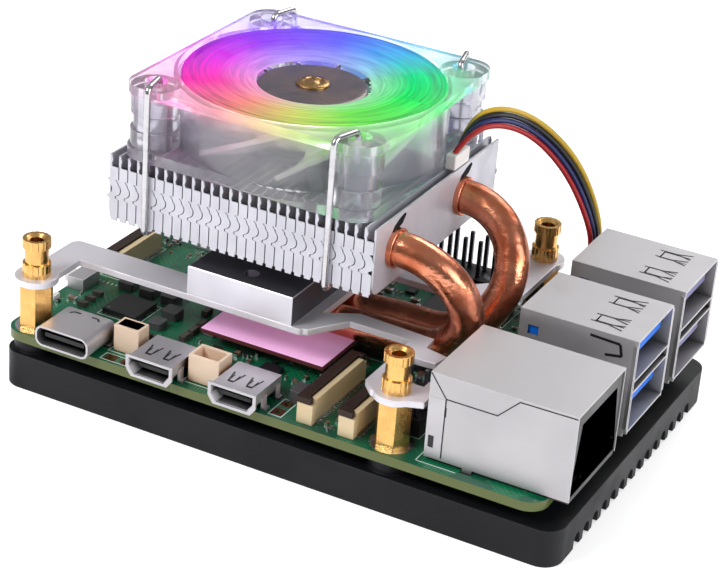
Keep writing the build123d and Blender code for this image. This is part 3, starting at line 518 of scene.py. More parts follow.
def wheel_of_light(tree):
    """Colour round the fan's axis, and the distance from that axis as a share of the rotor's radius."""
    low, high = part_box("fan_rotor")
    centre = (low + high) / 2
    radius = (high.x - low.x) / 2
    coords = add(tree, "ShaderNodeTexCoord").outputs["Object"]
    moved = add(tree, "ShaderNodeVectorMath", {0: coords, 1: tuple(centre)},
                operation="SUBTRACT").outputs[0]
    parts = add(tree, "ShaderNodeSeparateXYZ", {0: moved}).outputs
    angle = maths(tree, "ARCTAN2", parts["Y"], parts["X"])
    turn = maths(tree, "FRACT", maths(tree, "ADD", maths(tree, "DIVIDE", angle, 2 * math.pi), 1.0))
    ramp = add(tree, "ShaderNodeValToRGB", {"Fac": turn})
    stops = [(0.00, (0.00, 0.80, 0.10)), (0.10, (0.00, 0.74, 0.22)), (0.19, (0.05, 0.45, 0.80)),
             (0.29, (0.12, 0.12, 0.95)), (0.42, (0.30, 0.04, 0.90)), (0.53, (0.80, 0.02, 0.78)),
             (0.62, (0.98, 0.03, 0.42)), (0.72, (0.92, 0.26, 0.22)), (0.80, (0.62, 0.66, 0.14)),
             (0.88, (0.18, 0.82, 0.08)), (1.00, (0.00, 0.80, 0.10))]
    elements = ramp.color_ramp.elements
    elements[0].position, elements[0].color = stops[0][0], (*stops[0][1], 1)
    elements[1].position, elements[1].color = stops[-1][0], (*stops[-1][1], 1)
    for position, colour in stops[1:-1]:
        elements.new(position).color = (*colour, 1)
    flat = add(tree, "ShaderNodeCombineXYZ", {"X": parts["X"], "Y": parts["Y"]}).outputs[0]
    reach = add(tree, "ShaderNodeVectorMath", {0: flat}, operation="LENGTH").outputs["Value"]
    share = maths(tree, "DIVIDE", reach, radius)
    return ramp.outputs["Color"], share, turn, moved


@own_finish
def rotor_glow(tree, shader):
    """Lit blades in motion: bright colours round the axis with fine curved streaks, paler near the hub."""
    colour, share, turn, _ = wheel_of_light(tree)
    swirl = maths(tree, "ADD", turn, maths(tree, "MULTIPLY", share, 0.45))
    polar = add(tree, "ShaderNodeCombineXYZ", {"X": maths(tree, "MULTIPLY", share, 34.0),
                                               "Y": maths(tree, "MULTIPLY", swirl, 9.0)}).outputs[0]
    streak = spread(tree, noise(tree, polar, 1.0, 4.0, 0.6), 0.36, 0.66)
    pale = spread(tree, share, 0.74, 0.42)
    lit = blend_colour(tree, maths(tree, "MULTIPLY", pale, 0.42), colour, (0.80, 0.78, 0.84))
    dark = blend_colour(tree, 1.0, lit, (0.30, 0.36, 0.52), "MULTIPLY")
    rim = spread(tree, share, 0.86, 0.99)
    mixed = blend_colour(tree, maths(tree, "MULTIPLY", streak, spread(tree, rim, 0, 1, 0.55, 1.0)), lit,
                         dark)
    alpha = spread(tree, share, 0.44, 0.60, 0.96, 0.99)
    alpha = maths(tree, "MULTIPLY", alpha, spread(tree, streak, 0, 1, 1.0, 0.96))
    dim = blend_colour(tree, 1.0, mixed, (0.35, 0.35, 0.35), "MULTIPLY")
    fill_shader(tree, shader, dim, glow=mixed, alpha=alpha, Emission_Strength=0.82 * settings().glow,
                Roughness=0.5, Specular_IOR_Level=0.15)


@own_finish
def lit_blade(tree, shader):
    """Clear blades with the colour that reaches them."""
    colour = wheel_of_light(tree)[0]
    masks = use_group(tree, surface_grain(), Grain_scale=3000.0, Smudge_scale=200.0)
    base = blend_colour(tree, spread(tree, masks["Smudge"], 0, 1, 0.6, 0.8), colour, (0.88, 0.87, 0.92))
    fill_shader(tree, shader, base, spread(tree, masks["Smudge"], 0, 1, 0.25, 0.4), glow=base,
                Emission_Strength=0.12 * settings().glow)


def hub_grey():
    # Painted reflection: the orange second tone stands for orange reflections, speckled and smudged over the
    # dark grey.
    return finish_material("hub_grey", (0.065, 0.062, 0.085), 0.20, 0.2, tint=(0.30, 0.17, 0.13),
                           smudge=260.0, coat=0.4)


@own_finish
def frosted_clear(tree, shader):
    """Clear moulding with soft flow marks, lit by the rotor near its top and bore."""
    colour, share, _, moved = wheel_of_light(tree)
    masks = use_group(tree, surface_grain(), Grain_scale=1500.0, Smudge_scale=150.0)
    base = blend_colour(tree, masks["Smudge"], (0.90, 0.89, 0.94), (0.66, 0.65, 0.74))
    height = add(tree, "ShaderNodeSeparateXYZ", {0: moved}).outputs["Z"]
    near_top = spread(tree, height, 1.0 * MM, 5.4 * MM)
    near_bore = spread(tree, share, 1.50, 1.0)
    lit = maths(tree, "MULTIPLY", maths(tree, "POWER", near_top, 1.6), maths(tree, "POWER", near_bore, 1.5))
    fill_shader(tree, shader, base, spread(tree, masks["Smudge"], 0, 1, 0.08, 0.26),
                raised(tree, masks["Smudge"], 0.05),
                glow=blend_colour(tree, lit, (0, 0, 0), colour), Emission_Strength=0.55 * settings().glow,
                Transmission_Weight=0.86, IOR=1.46)


def wire_skin(name, colour):
    return finish_material(name, colour, 0.38, tint=tuple(c * 0.6 for c in colour), grain=7000.0,
                           grain_bump=0.006)


# ---------------------------------------------------------------- mesh helpers
def new_piece(name, bm, material, body=ROOT, smooth_angle=None):
    """Turns a bmesh into a piece that rides on a body."""
    mesh = bpy.data.meshes.new(name)
    bm.to_mesh(mesh)
    bm.free()
    if smooth_angle is not None:
        mesh.shade_smooth()
        mesh.set_sharp_from_angle(angle=math.radians(smooth_angle))
    piece = bpy.data.objects.new(name, mesh)
    bpy.context.scene.collection.objects.link(piece)
    piece.data.materials.append(material)
    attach(piece, body)
    return piece


def add_bevel(piece, width, segments=2, angle=32.0):
    bevel = piece.modifiers.new("Broken edges", "BEVEL")
    bevel.width = width
    bevel.segments = segments
    bevel.limit_method = "ANGLE"
    bevel.angle_limit = math.radians(angle)
    bevel.miter_outer = "MITER_ARC"
    bevel.use_clamp_overlap = True
    bevel.harden_normals = True
    return bevel


def box_mesh(bm, x0, x1, y0, y1, z0, z1, top=0.0):
    """A board frame box in the bmesh; its top face is drawn in by top."""
    corners = []
    for z, inset in ((z0, 0.0), (z1, top)):
        for x, y in ((x0 + inset, y0 + inset), (x1 - inset, y0 + inset), (x1 - inset, y1 - inset),
                     (x0 + inset, y1 - inset)):
            corners.append(bm.verts.new(at(x, y, z)))
    for face in ((3, 2, 1, 0), (4, 5, 6, 7), (0, 1, 5, 4), (1, 2, 6, 5), (2, 3, 7, 6), (3, 0, 4, 7)):
        bm.faces.new([corners[i] for i in face])


def body_of_node(node):
    for body, members in frame["record"]["behaviour"]["bodies"].items():
        if node in members:
            return body
    raise ValueError(f"no body holds {node}")


def dressed_copy(node, material, edge=0.0, segments=2, angle=32.0):
    """A CAD node's mesh, welded, with flat areas joined and edges broken, that stands for the node."""
    source = frame["nodes"][node]
    bm = bmesh.new()
    bm.from_mesh(source.data)
    bmesh.ops.remove_doubles(bm, verts=bm.verts, dist=1e-7)
    bmesh.ops.dissolve_limit(bm, angle_limit=math.radians(1.0), verts=bm.verts, edges=bm.edges)
    bmesh.ops.dissolve_degenerate(bm, edges=bm.edges, dist=1e-7)
    piece = new_piece(f"{node}_skin", bm, material, body_of_node(node),
                      smooth_angle=angle)
    if edge > 0:
        add_bevel(piece, edge, segments, angle)
    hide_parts(node)
    return piece


def paint(node, material):
    """Gives a CAD node a better material."""
    slots = frame["nodes"][node].data.materials
    slots.clear()
    slots.append(material)


def outline_sheet(bm, outline, holes, to_point, thickness):
    """A flat sheet with holes from 2-D outlines; to_point maps (a, b, depth) to part frame metres."""
    edges = []
    for loop in [outline] + holes:
        verts = [bm.verts.new(to_point(a, b, 0.0)) for a, b in loop]
        for i in range(len(verts)):
            edges.append(bm.edges.new((verts[i - 1], verts[i])))
    made = bmesh.ops.triangle_fill(bm, use_beauty=True, use_dissolve=False, edges=edges)
    faces = [g for g in made["geom"] if isinstance(g, bmesh.types.BMFace)]
    moved = bmesh.ops.extrude_face_region(bm, geom=faces)
    offset = to_point(0, 0, thickness) - to_point(0, 0, 0)
    bmesh.ops.translate(bm, vec=offset,
                        verts=[g for g in moved["geom"] if isinstance(g, bmesh.types.BMVert)])
    bmesh.ops.recalc_face_normals(bm, faces=bm.faces)


def join_sheet(bm, outline, holes, to_point, thickness):
    """Adds a finished flat sheet to a bmesh that holds others."""
    part = bmesh.new()
    outline_sheet(part, outline, holes, to_point, thickness)
    mesh = bpy.data.meshes.new("sheet")
    part.to_mesh(mesh)
    part.free()
    bm.from_mesh(mesh)
    bpy.data.meshes.remove(mesh)


def ring_points(a, b, radius, count):
    """Evenly spaced points of a circle round (a, b)."""
    turns = [2 * math.pi * i / count for i in range(count)]
    return [(a + radius * math.cos(turn), b + radius * math.sin(turn)) for turn in turns]


# ---------------------------------------------------------------- operators
class COOLER_OT_base(Operator):
    """Grooved base plate and the screws under it"""

    bl_idname = "cooler.base"
    bl_label = "Base plate"

    def execute(self, context):
        dressed_copy("base_heatsink", black_anodised(), 2.0 * settings().edge_round, 3)
        paint("base_screws", screw_steel())
        return {"FINISHED"}


class COOLER_OT_board(Operator):
    """Circuit board with its printed lines, plated holes and small parts"""

    bl_idname = "cooler.board"
    bl_label = "Circuit board"

    def execute(self, context):
        dressed_copy("circuit_board", solder_mask(), 0.03 * MM)
        self.printed_lines()
        self.plated_rings()
        self.small_parts()
        return {"FINISHED"}

    def printed_lines(self):
        """White outlines round sockets and jumpers."""
        width = settings().print_width / MM / 2
        z0, z1 = 0.0, 0.02
        bm = bmesh.new()

        def stroke(x0, y0, x1, y1):
            box_mesh(bm, min(x0, x1) - width, max(x0, x1) + width, min(y0, y1) - width, max(y0, y1) + width,
                     z0, z1)

        def frame_of(x0, x1, y0, y1):
            stroke(x0, y0, x1, y0)
            stroke(x0, y1, x1, y1)
            stroke(x0, y0 + 2 * width, x0, y1 - 2 * width)
            stroke(x1, y0 + 2 * width, x1, y1 - 2 * width)

        for node, gap in (("battery_socket", 0.5), ("debug_socket", 0.5), ("fan_socket", 0.4),
                          ("memory_chip", 0.6), ("io_controller", 0.6), ("power_chip", 0.5),
                          ("network_chip", 0.5), ("expansion_socket", 0.5)):
            x0, x1, y0, y1, _, _ = board_box(node)
            frame_of(x0 - gap, x1 + gap, y0 - gap, y1 + gap)
        frame_of(16.5, 21.6, 0.55, 2.35)
        frame_of(43.9, 45.9, 0.7, 5.4)
        frame_of(7.0, 59.2, 49.8, 55.2)
        frame_of(58.8, 64.2, 6.4, 11.7)
        stroke(66.2, 1.3, 72.0, 1.3)
        stroke(66.2, 1.3, 66.2, 18.9)
        stroke(69.8, 21.4, 69.8, 54.6)
        stroke(24.8, 20.6, 24.8, 33.8)
        stroke(24.8, 33.8, 29.0, 33.8)
        for i in range(9):
            stroke(2.2 + i * 0.75, 20.4, 2.2 + i * 0.75, 20.75)
        new_piece("board_print", bm, print_white())

    def plated_rings(self):
        """Copper-lined holes of the jumpers and bright annular pads round the four corner holes."""
        bm = bmesh.new()
        for x, y in ((17.8, 1.45), (20.35, 1.45), (44.9, 1.8), (44.9, 4.35)):
            square = 4 if x == 17.8 or y == 1.8 else 24
            outline_ring(bm, x, y, 0.48, 0.86 if square == 24 else 1.1, 0.0, 0.025, 24, square)
        new_piece("jumper_pads", bm, plated_red())
        bm = bmesh.new()
        for x, y in CORNER_HOLES:
            outline_ring(bm, x, y, 1.36, 3.1, 0.0, 0.02, 40, 40)
        new_piece("corner_pads", bm, solder_tin())

    def small_parts(self):
        """Resistors, capacitors and small chips in the free areas of the board."""
        rng = random.Random(17)
        taken = []
        for node in frame["nodes"]:
            x0, x1, y0, y1, z0, _ = board_box(node)
            on_board = z0 < 1.2 and node not in ("circuit_board", "base_heatsink", "base_screws",
                                                 "standoffs", "header_pins", "header_strips",
                                                 "chip_capacitors", "inductors", "crystal_cans",
                                                 "camera_sockets", "host_port_shells", "video_port_shells",
                                                 "video_port_tongues", "network_contacts")
            if on_board:
                taken.append((x0, x1, y0, y1))
        taken += [(x - 3.3, x + 3.3, y - 3.3, y + 3.3) for x, y in CORNER_HOLES]
        taken += [(6.9, 59.4, 49.6, 55.5), (58.5, 64.4, 6.2, 12.0), (47.6, 51.2, 0.4, 17.2),
                  (53.9, 57.6, 0.4, 17.2), (21.8, 29.8, -2, 7.0), (35.2, 43.2, -2, 7.0),
                  (65.5, 88, 0.5, 20.0), (69.0, 88, 20.6, 55.5), (16.2, 22.0, 0.3, 2.7),
                  (43.5, 46.3, 0.4, 8.2), (4.2, 20.4, 8.2, 22.6), (20.6, 24.6, 11.0, 22.0),
                  (24.4, 26.8, 14.6, 16.6), (44.2, 46.2, 33.8, 38.4), (20.6, 23.0, 29.6, 31.6),
                  (60.6, 63.0, 27.4, 29.4)]
        dark, tan, silver, black = bmesh.new(), bmesh.new(), bmesh.new(), bmesh.new()
        sizes = [(1.0, 0.5, 0.35), (1.0, 0.5, 0.5), (1.6, 0.8, 0.5), (0.6, 0.3, 0.3), (0.6, 0.3, 0.3)]
        made, wanted, tries, clear = 0, 330, 9000, 0.14
        for _ in range(tries):
            if made >= wanted:
                break
            w, d, h = rng.choice(sizes)
            chip = rng.random() < 0.06
            if chip:
                w, d, h = rng.choice([(2.0, 1.6, 0.7), (1.6, 1.6, 0.6), (3.0, 3.0, 0.8)])
            if rng.random() < 0.5:
                w, d = d, w
            x, y = round(rng.uniform(1.2, 68.5) * 4) / 4, round(rng.uniform(0.9, 54.8) * 4) / 4
            spot = (x - w / 2 - clear, x + w / 2 + clear, y - d / 2 - clear, y + d / 2 + clear)
            if any(spot[0] < b and spot[1] > a and spot[2] < d1 and spot[3] > c for a, b, c, d1 in taken):
                continue
            taken.append(spot)
            made += 1
            if chip:
                box_mesh(black, x - w / 2, x + w / 2, y - d / 2, y + d / 2, 0.06, h, 0.06)
                for i in range(3):
                    step = (i - 1) * w / 3.2
                    for side in (-1, 1):
                        edge = y + side * d / 2
                        box_mesh(silver, x + step - 0.11, x + step + 0.11, edge - 0.02, edge + 0.02 + 0.2,
                                 0.0, 0.16)
                continue
            body = rng.choice((dark, tan, tan))
            along_x = w > d
            end = 0.24 * max(w, d)
            if along_x:
                box_mesh(body, x - w / 2 + end, x + w / 2 - end, y - d / 2, y + d / 2, 0.0, h - 0.02)
                for x0, x1 in ((x - w / 2, x - w / 2 + end), (x + w / 2 - end, x + w / 2)):
                    box_mesh(silver, x0, x1, y - d / 2 - 0.01, y + d / 2 + 0.01, 0.0, h, 0.03)
            else:
                box_mesh(body, x - w / 2, x + w / 2, y - d / 2 + end, y + d / 2 - end, 0.0, h - 0.02)
                for y0, y1 in ((y - d / 2, y - d / 2 + end), (y + d / 2 - end, y + d / 2)):
                    box_mesh(silver, x - w / 2 - 0.01, x + w / 2 + 0.01, y0, y1, 0.0, h, 0.03)
        new_piece("small_resistors", dark, chip_black())
        new_piece("small_capacitors", tan, plastic("ceramic_tan", (0.20, 0.13, 0.08), 0.35))
        new_piece("small_part_ends", silver, solder_tin())
        new_piece("small_chips", black, chip_black())


def outline_ring(bm, x, y, inner, outer, z0, z1, count, sides):
    """A flat ring; its outside has the given number of sides."""
    inside = ring_points(x, y, inner, count)
    if sides == 4:
        half = outer * 0.78
        outside = [(x - half, y - half), (x + half, y - half), (x + half, y + half), (x - half, y + half)]
    else:
        outside = ring_points(x, y, outer, count)
    join_sheet(bm, outside, [inside], lambda a, b, depth: at(a, b, z0 + depth), z1 - z0)


class COOLER_OT_chips(Operator):
    """Processor, pad, chips and larger parts soldered to the board"""

    bl_idname = "cooler.chips"
    bl_label = "Chips"

    def execute(self, context):
        fine = 0.06 * MM
        dressed_copy("processor", nickel(), fine)
        dressed_copy("thermal_pad", thermal_pink(), 0.12 * MM)
        for node in ("memory_chip", "io_controller", "power_chip", "network_chip"):
            dressed_copy(node, chip_black(), fine)
        for node in ("radio_module", "crystal_cans"):
            dressed_copy(node, nickel(), 0.1 * MM)
        # Its edge colour is partly wear, partly a painted highlight.
        dressed_copy("inductors", plastic("coil_grey", (0.075, 0.075, 0.08), 0.42, wear=(0.3, 0.3, 0.3)),
                     fine)
        dressed_copy("chip_capacitors", plastic("capacitor_grey", (0.07, 0.058, 0.05), 0.4), 0.05 * MM)
        dressed_copy("status_led", white_nylon(), 0.05 * MM)
        self.chip_marks()
        return {"FINISHED"}

    def chip_marks(self):
        """Pin one dots, leads round the power chip and tin ends on the larger capacitors."""
        dots, leads = bmesh.new(), bmesh.new()
        for node, inset in (("memory_chip", 1.0), ("io_controller", 1.1), ("power_chip", 0.7),
                            ("network_chip", 0.7)):
            x0, _, y0, _, _, z1 = board_box(node)
            part = ring_points(x0 + inset, y0 + inset, 0.22, 16)
            dots.faces.new([dots.verts.new(at(a, b, z1 + 0.004)) for a, b in part])
        for node in ("power_chip", "network_chip"):
            x0, x1, y0, y1, _, _ = board_box(node)
            for i in range(10):
                step = (i - 4.5) * 0.5
                cx, cy = (x0 + x1) / 2 + step, (y0 + y1) / 2 + step
                for low, high in ((y0 - 0.22, y0), (y1, y1 + 0.22)):
                    box_mesh(leads, cx - 0.12, cx + 0.12, low, high, 0.0, 0.1)
                for low, high in ((x0 - 0.22, x0), (x1, x1 + 0.22)):
                    box_mesh(leads, low, high, cy - 0.12, cy + 0.12, 0.0, 0.1)
        new_piece("chip_dots", dots, plastic("mark_grey", (0.18, 0.18, 0.19), 0.5))
        new_piece("chip_leads", leads, solder_tin())


def dark_cut(bm, line, half, to_point):
    """A thin dark bar along a line."""
    start, end = (Vector((*p, 0)) for p in line)
    along = (end - start).normalized()
    across = Vector((-along.y, along.x, 0)) * half
    corners = [start - across, end - across, end + across, start + across]
    low = [bm.verts.new(to_point(c.x, c.y, -0.02)) for c in corners]
    high = [bm.verts.new(to_point(c.x, c.y, 0.015)) for c in corners]
    faces = [bm.faces.new(high), bm.faces.new(list(reversed(low)))]
    faces += [bm.faces.new((low[i - 1], low[i], high[i], high[i - 1])) for i in range(4)]
    bmesh.ops.recalc_face_normals(bm, faces=faces)


class COOLER_OT_front_ports(Operator):
    """Power inlet, the two video ports and the two wire sockets on the front edge"""

    bl_idname = "cooler.front_ports"
    bl_label = "Front ports"

    def execute(self, context):
        for node in ("power_inlet_shell", "video_port_shells"):
            dressed_copy(node, nickel(), angle=25.0)
        self.tab_cuts()
        for node in ("power_inlet_tongue", "video_port_tongues"):
            dressed_copy(node, port_black(), 0.05 * MM)
        for node in ("battery_socket", "debug_socket", "fan_socket"):
            dressed_copy(node, cream_nylon(), 0.12 * MM)
        return {"FINISHED"}

    def tab_cuts(self):
        """Dark cuts round the spring tabs on the shells' tops."""
        bm = bmesh.new()
        for middle in (25.8, 39.2):
            for side in (-1, 1):
                tab = [(middle + side * 2.3, 3.4), (middle + side * 1.85, 0.9), (middle + side * 1.05, 0.9),
                       (middle + side * 0.6, 3.4)]
                for line in zip(tab, tab[1:]):
                    dark_cut(bm, line, 0.13, lambda a, b, lift: at(a, b, 3.0 + lift))
        for side in (-1, 1):
            for line in (((11.2 + side * 0.9, 4.9), (11.2 + side * 2.0, 4.9)),
                         ((11.2 + side * 2.0, 4.9), (11.2 + side * 2.5, 4.3))):
                dark_cut(bm, line, 0.16, lambda a, b, lift: at(a, b, 3.2 + lift))
        new_piece("tab_cuts", bm, port_black())


class COOLER_OT_side_ports(Operator):
    """Network jack and the stacked host ports on the right edge"""

    bl_idname = "cooler.side_ports"
    bl_label = "Side ports"

    def execute(self, context):
        dressed_copy("network_jack_shell", nickel_long(), angle=20.0)
        dressed_copy("network_jack_body", port_black(), 0.05 * MM)
        paint("network_contacts", contact_gold())
        dressed_copy("host_port_shells", nickel_long(), angle=20.0)
        dressed_copy("host_port_fast_insert", fast_blue(), 0.1 * MM)
        dressed_copy("host_port_slow_insert", slow_grey(), 0.1 * MM)
        self.jack_seams()
        self.port_slots()
        return {"FINISHED"}

    def port_slots(self):
        """Dark cuts of the spring fingers: forked on each port's top, hooked on the side of the fast one."""
        bm = bmesh.new()
        top, side = 15.2, 22.5
        for middle in (29.1, 47.0):
            for shift in (-4.3, -2.1, 2.1, 4.3):
                y = middle + shift
                for line in (((79.8, y), (82.4, y)), ((82.4, y), (84.6, y + 0.75)),
                             ((82.4, y), (84.6, y - 0.75))):
                    dark_cut(bm, line, 0.15, lambda a, b, lift: at(a, b, top + lift))
        hook = [(80.8, 14.2), (85.2, 14.0), (85.6, 12.3), (83.2, 11.9)]
        for line in zip(hook, hook[1:]):
            dark_cut(bm, line, 0.2, lambda a, b, lift: at(a, side - lift, b))
        new_piece("port_slots", bm, port_black())

    def jack_seams(self):
        """Dark joint lines of the folded sheet on the front face, and the strip with its latch window."""
        face = 2.2
        bm = bmesh.new()
        path = [(67.0, 13.15), (69.4, 9.9), (76.8, 9.9), (79.7, 12.85), (87.75, 12.95)]
        for (xa, za), (xb, zb) in zip(path, path[1:]):
            along = Vector((xb - xa, 0, zb - za)).normalized()
            side = Vector((-along.z, 0, along.x)) * 0.075
            start, end = Vector((xa, 0, za)) - along * 0.05, Vector((xb, 0, zb)) + along * 0.05
            corners = [start - side, end - side, end + side, start + side]
            low = [bm.verts.new(at(c.x, face - 0.045, c.z)) for c in corners]
            high = [bm.verts.new(at(c.x, face + 0.05, c.z)) for c in corners]
            bm.faces.new(low)
            bm.faces.new(list(reversed(high)))
            for i in range(4):
                bm.faces.new((low[i], low[i - 1], high[i - 1], high[i]))
        box_mesh(bm, 69.34, 69.48, face - 0.045, face + 0.05, 0.9, 9.9)
        box_mesh(bm, 67.35, 68.15, face - 0.06, face, 2.1, 3.9)
        strip = bmesh.new()
        box_mesh(strip, 66.95, 69.3, face - 0.04, face - 0.001, 0.8, 9.7)
        new_piece("jack_strip", strip, nickel())
        new_piece("jack_seams", bm, port_black())


class COOLER_OT_sockets(Operator):
    """Flat cable sockets with their latches, the pin headers, card socket and button"""

    bl_idname = "cooler.sockets"
    bl_label = "Sockets and headers"

    def execute(self, context):
        for node in ("camera_sockets", "expansion_socket"):
            dressed_copy(node, tan_nylon(), 0.06 * MM)
        for node in ("camera_latch_left", "camera_latch_right", "expansion_latch"):
            dressed_copy(node, latch_brown(), 0.06 * MM)
        dressed_copy("header_strips", header_black(), 0.06 * MM)
        dressed_copy("header_pins", pin_metal(), 0.12 * MM)
        paint("card_socket", nickel())
        dressed_copy("power_button_body", nickel(), 0.05 * MM)
        dressed_copy("power_button_cap", white_nylon(), 0.1 * MM)
        self.socket_leads()
        return {"FINISHED"}

    def socket_leads(self):
        """Rows of small soldered leads along the flat cable sockets."""
        leads = bmesh.new()
        rows = [(50.5, 1.9, 15.8), (56.9, 1.9, 15.8), (4.8, 23.7, 34.2)]
        for x, y0, y1 in rows:
            count = int((y1 - y0) / 0.5)
            for i in range(count):
                y = y0 + (i + 0.5) * (y1 - y0) / count
                box_mesh(leads, x, x + 0.62, y - 0.11, y + 0.11, 0.0, 0.12, 0.02)
                box_mesh(leads, x, x + 0.18, y - 0.11, y + 0.11, 0.12, 0.5)
        new_piece("socket_leads", leads, solder_tin())


class COOLER_OT_cooler(Operator):
    """Bracket, spreader block, posts, thumb nuts, heat pipes and fins"""

    bl_idname = "cooler.cooler"
    bl_label = "Tower cooler"

    def execute(self, context):
        edge = settings().edge_round
        dressed_copy("mounting_bracket", satin_aluminium(), 0.7 * edge)
        dressed_copy("spreader_block", milled_block(), edge)
        dressed_copy("standoffs", gold_brass(), 0.8 * edge)
        dressed_copy("thumb_nuts", gold_brass(), 0.3 * edge, angle=25.0)
        for node in ("heat_pipe_front", "heat_pipe_rear"):
            dressed_copy(node, polished_copper(), 0.0, angle=50.0)
        self.fin_stack()
        return {"FINISHED"}

    def fin_stack(self):
        """Leaves with pipe holes, interlocked flanges front and rear, and the collars round the pipes."""
        x0, _, y0, y1, z0, z1 = board_box("cooling_fins")
        count, pitch, thickness = 29, 1.5, 0.3
        first = x0 + thickness / 2
        bm = bmesh.new()
        holes_at = [(15.5, 22.3), (36.5, 22.3)]
        corner = 1.6
        outline = [(y0 + corner, z0), (y1 - 0.4, z0), (y1, z0 + 0.4), (y1, z1), (y0, z1), (y0, z0 + corner)]
        outline += [(y0 + corner - corner * math.sin(a), z0 + corner - corner * math.cos(a))
                    for a in (math.radians(d) for d in (67.5, 45, 22.5))]
        for i in range(count):
            x = first + i * pitch - thickness / 2
            holes = [ring_points(y, z, 2.56, 28) for y, z in holes_at]
            join_sheet(bm, outline, holes, lambda a, b, depth, x=x: at(x + depth, a, b), thickness)
        for y, z in holes_at:
            for i in range(count - 1):
                x = first + i * pitch + thickness / 2
                self.collar(bm, x, x + 0.55, y, z, 2.56, 2.76)
        self.end_details(first + (count - 1) * pitch + thickness / 2, holes_at)
        piece = new_piece("fin_leaves", bm, fin_aluminium(), smooth_angle=35)
        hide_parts("cooling_fins")
        for name, y, depth in (("fin_flanges_front", y0 - 0.02, -0.2),
                               ("fin_flanges_rear", y1 + 0.02, 0.2)):
            self.flanges(name, first, pitch, count, z0, z1, y, depth)

    def end_details(self, x, holes_at):
        """Copper collars on the last leaf and the dark relief slots above its pipe holes."""
        rings, slots = bmesh.new(), bmesh.new()
        for y, z in holes_at:
            self.collar(rings, x, x + 0.8, y, z, 2.52, 2.86)
            outline = [(y - 1.5, z + 2.2), (y + 0.3, z + 2.5), (y + 1.9, z + 2.9), (y + 2.9, z + 3.9),
                       (y + 2.5, z + 4.3),
                       (y + 1.0, z + 4.0), (y - 0.6, z + 3.3)]
            join_sheet(slots, outline, [], lambda a, b, depth: at(x + depth, a, b), 0.03)
        new_piece("pipe_collars", rings, polished_copper(), smooth_angle=35)
        # Painted shadow: thin dark sheets fill the relief slots.
        new_piece("relief_slot_shadows", slots, deep_shadow())

    def collar(self, bm, x0, x1, y, z, inner, outer):
        """A short tube round a pipe, along X."""
        rings = []
        for x, radius in ((x0, inner), (x0, outer), (x1 - 0.06, outer), (x1, outer - 0.06), (x1, inner)):
            rings.append([bm.verts.new(at(x, a, b)) for a, b in ring_points(y, z, radius, 28)])
        for lower, upper in zip(rings, rings[1:] + rings[:1]):
            for i in range(28):
                j = (i + 1) % 28
                bm.faces.new((lower[i], upper[i], upper[j], lower[j]))

    def flanges(self, name, first, pitch, count, z0, z1, y, depth):
        """One folded flange for each fin, cut with a hook that locks into its neighbour."""
        gap = settings().fin_seam / MM / 2
        seam = [(0.0, z0 + 0.42), (0.0, z0 + 3.3), (-0.50, z0 + 3.45), (-0.50, z0 + 3.8), (-0.05, z0 + 4.0),
                (0.26, z0 + 4.35), (0.36, z0 + 4.8), (0.26, z0 + 5.25), (-0.05, z0 + 5.6),
                (-0.12, z0 + 5.95), (-0.50, z0 + 6.3), (0.0, z0 + 6.4), (0.0, z1 - 1.75)]
        hook = [(-0.10, z1 - 1.45), (-0.10, z1 - 1.15), (0.06, z1 - 0.85), (0.02, z1 - 0.45),
                (-0.08, z1 - 0.28)]
        bm = bmesh.new()
        for i in range(count - 1):
            low, high = first + i * pitch, first + (i + 1) * pitch
            tab = [(low + 0.28, z0), (high - 0.28, z0), (high - 0.28, z0 + 0.42)]
            up = [(high + dx - gap, z) for dx, z in seam]
            down = [(low + dx + gap, z) for dx, z in reversed(seam)]
            post = [(low + 0.42, z1 - 1.75)] + [(low + 0.42 + dx, z) for dx, z in hook]
            post_back = [(low + gap - 0.02 + dx * 0.6, z) for dx, z in reversed(hook)]
            outline = tab + up + post + [(low + 0.36, z1), (low + gap, z1)] + post_back + down
            outline.append((low + 0.28, z0 + 0.42))
            join_sheet(bm, outline, [], lambda a, b, d: at(a, y + d, b), depth)
        new_piece(name, bm, fin_aluminium())
        # Painted shadow: a dark strip behind the flange seams, where the flange walls lie in shade.
        back = bmesh.new()
        inward = 0.06 if depth < 0 else -0.06
        box_mesh(back, first + 0.1, first + (count - 1) * pitch - 0.1,
                 min(y, y + inward), max(y, y + inward), z0 + 0.45, z1 - 1.6)
        new_piece(f"{name}_shadow_strip", back, deep_shadow())


def turned_skin(profile, node, steps):
    """A skin turned about a CAD node's upright axis from (radius, height) points, outermost first."""
    x0, x1, y0, y1, _, _ = board_box(node)
    cx, cy = (x0 + x1) / 2, (y0 + y1) / 2
    bm = bmesh.new()
    rings = [[bm.verts.new(at(a, b, z)) for a, b in ring_points(cx, cy, r, steps)] for r, z in profile]
    for outer, inner in zip(rings, rings[1:]):
        for i in range(steps):
            j = (i + 1) % steps
            bm.faces.new((outer[i], outer[j], inner[j], inner[i]))
    return bm, rings


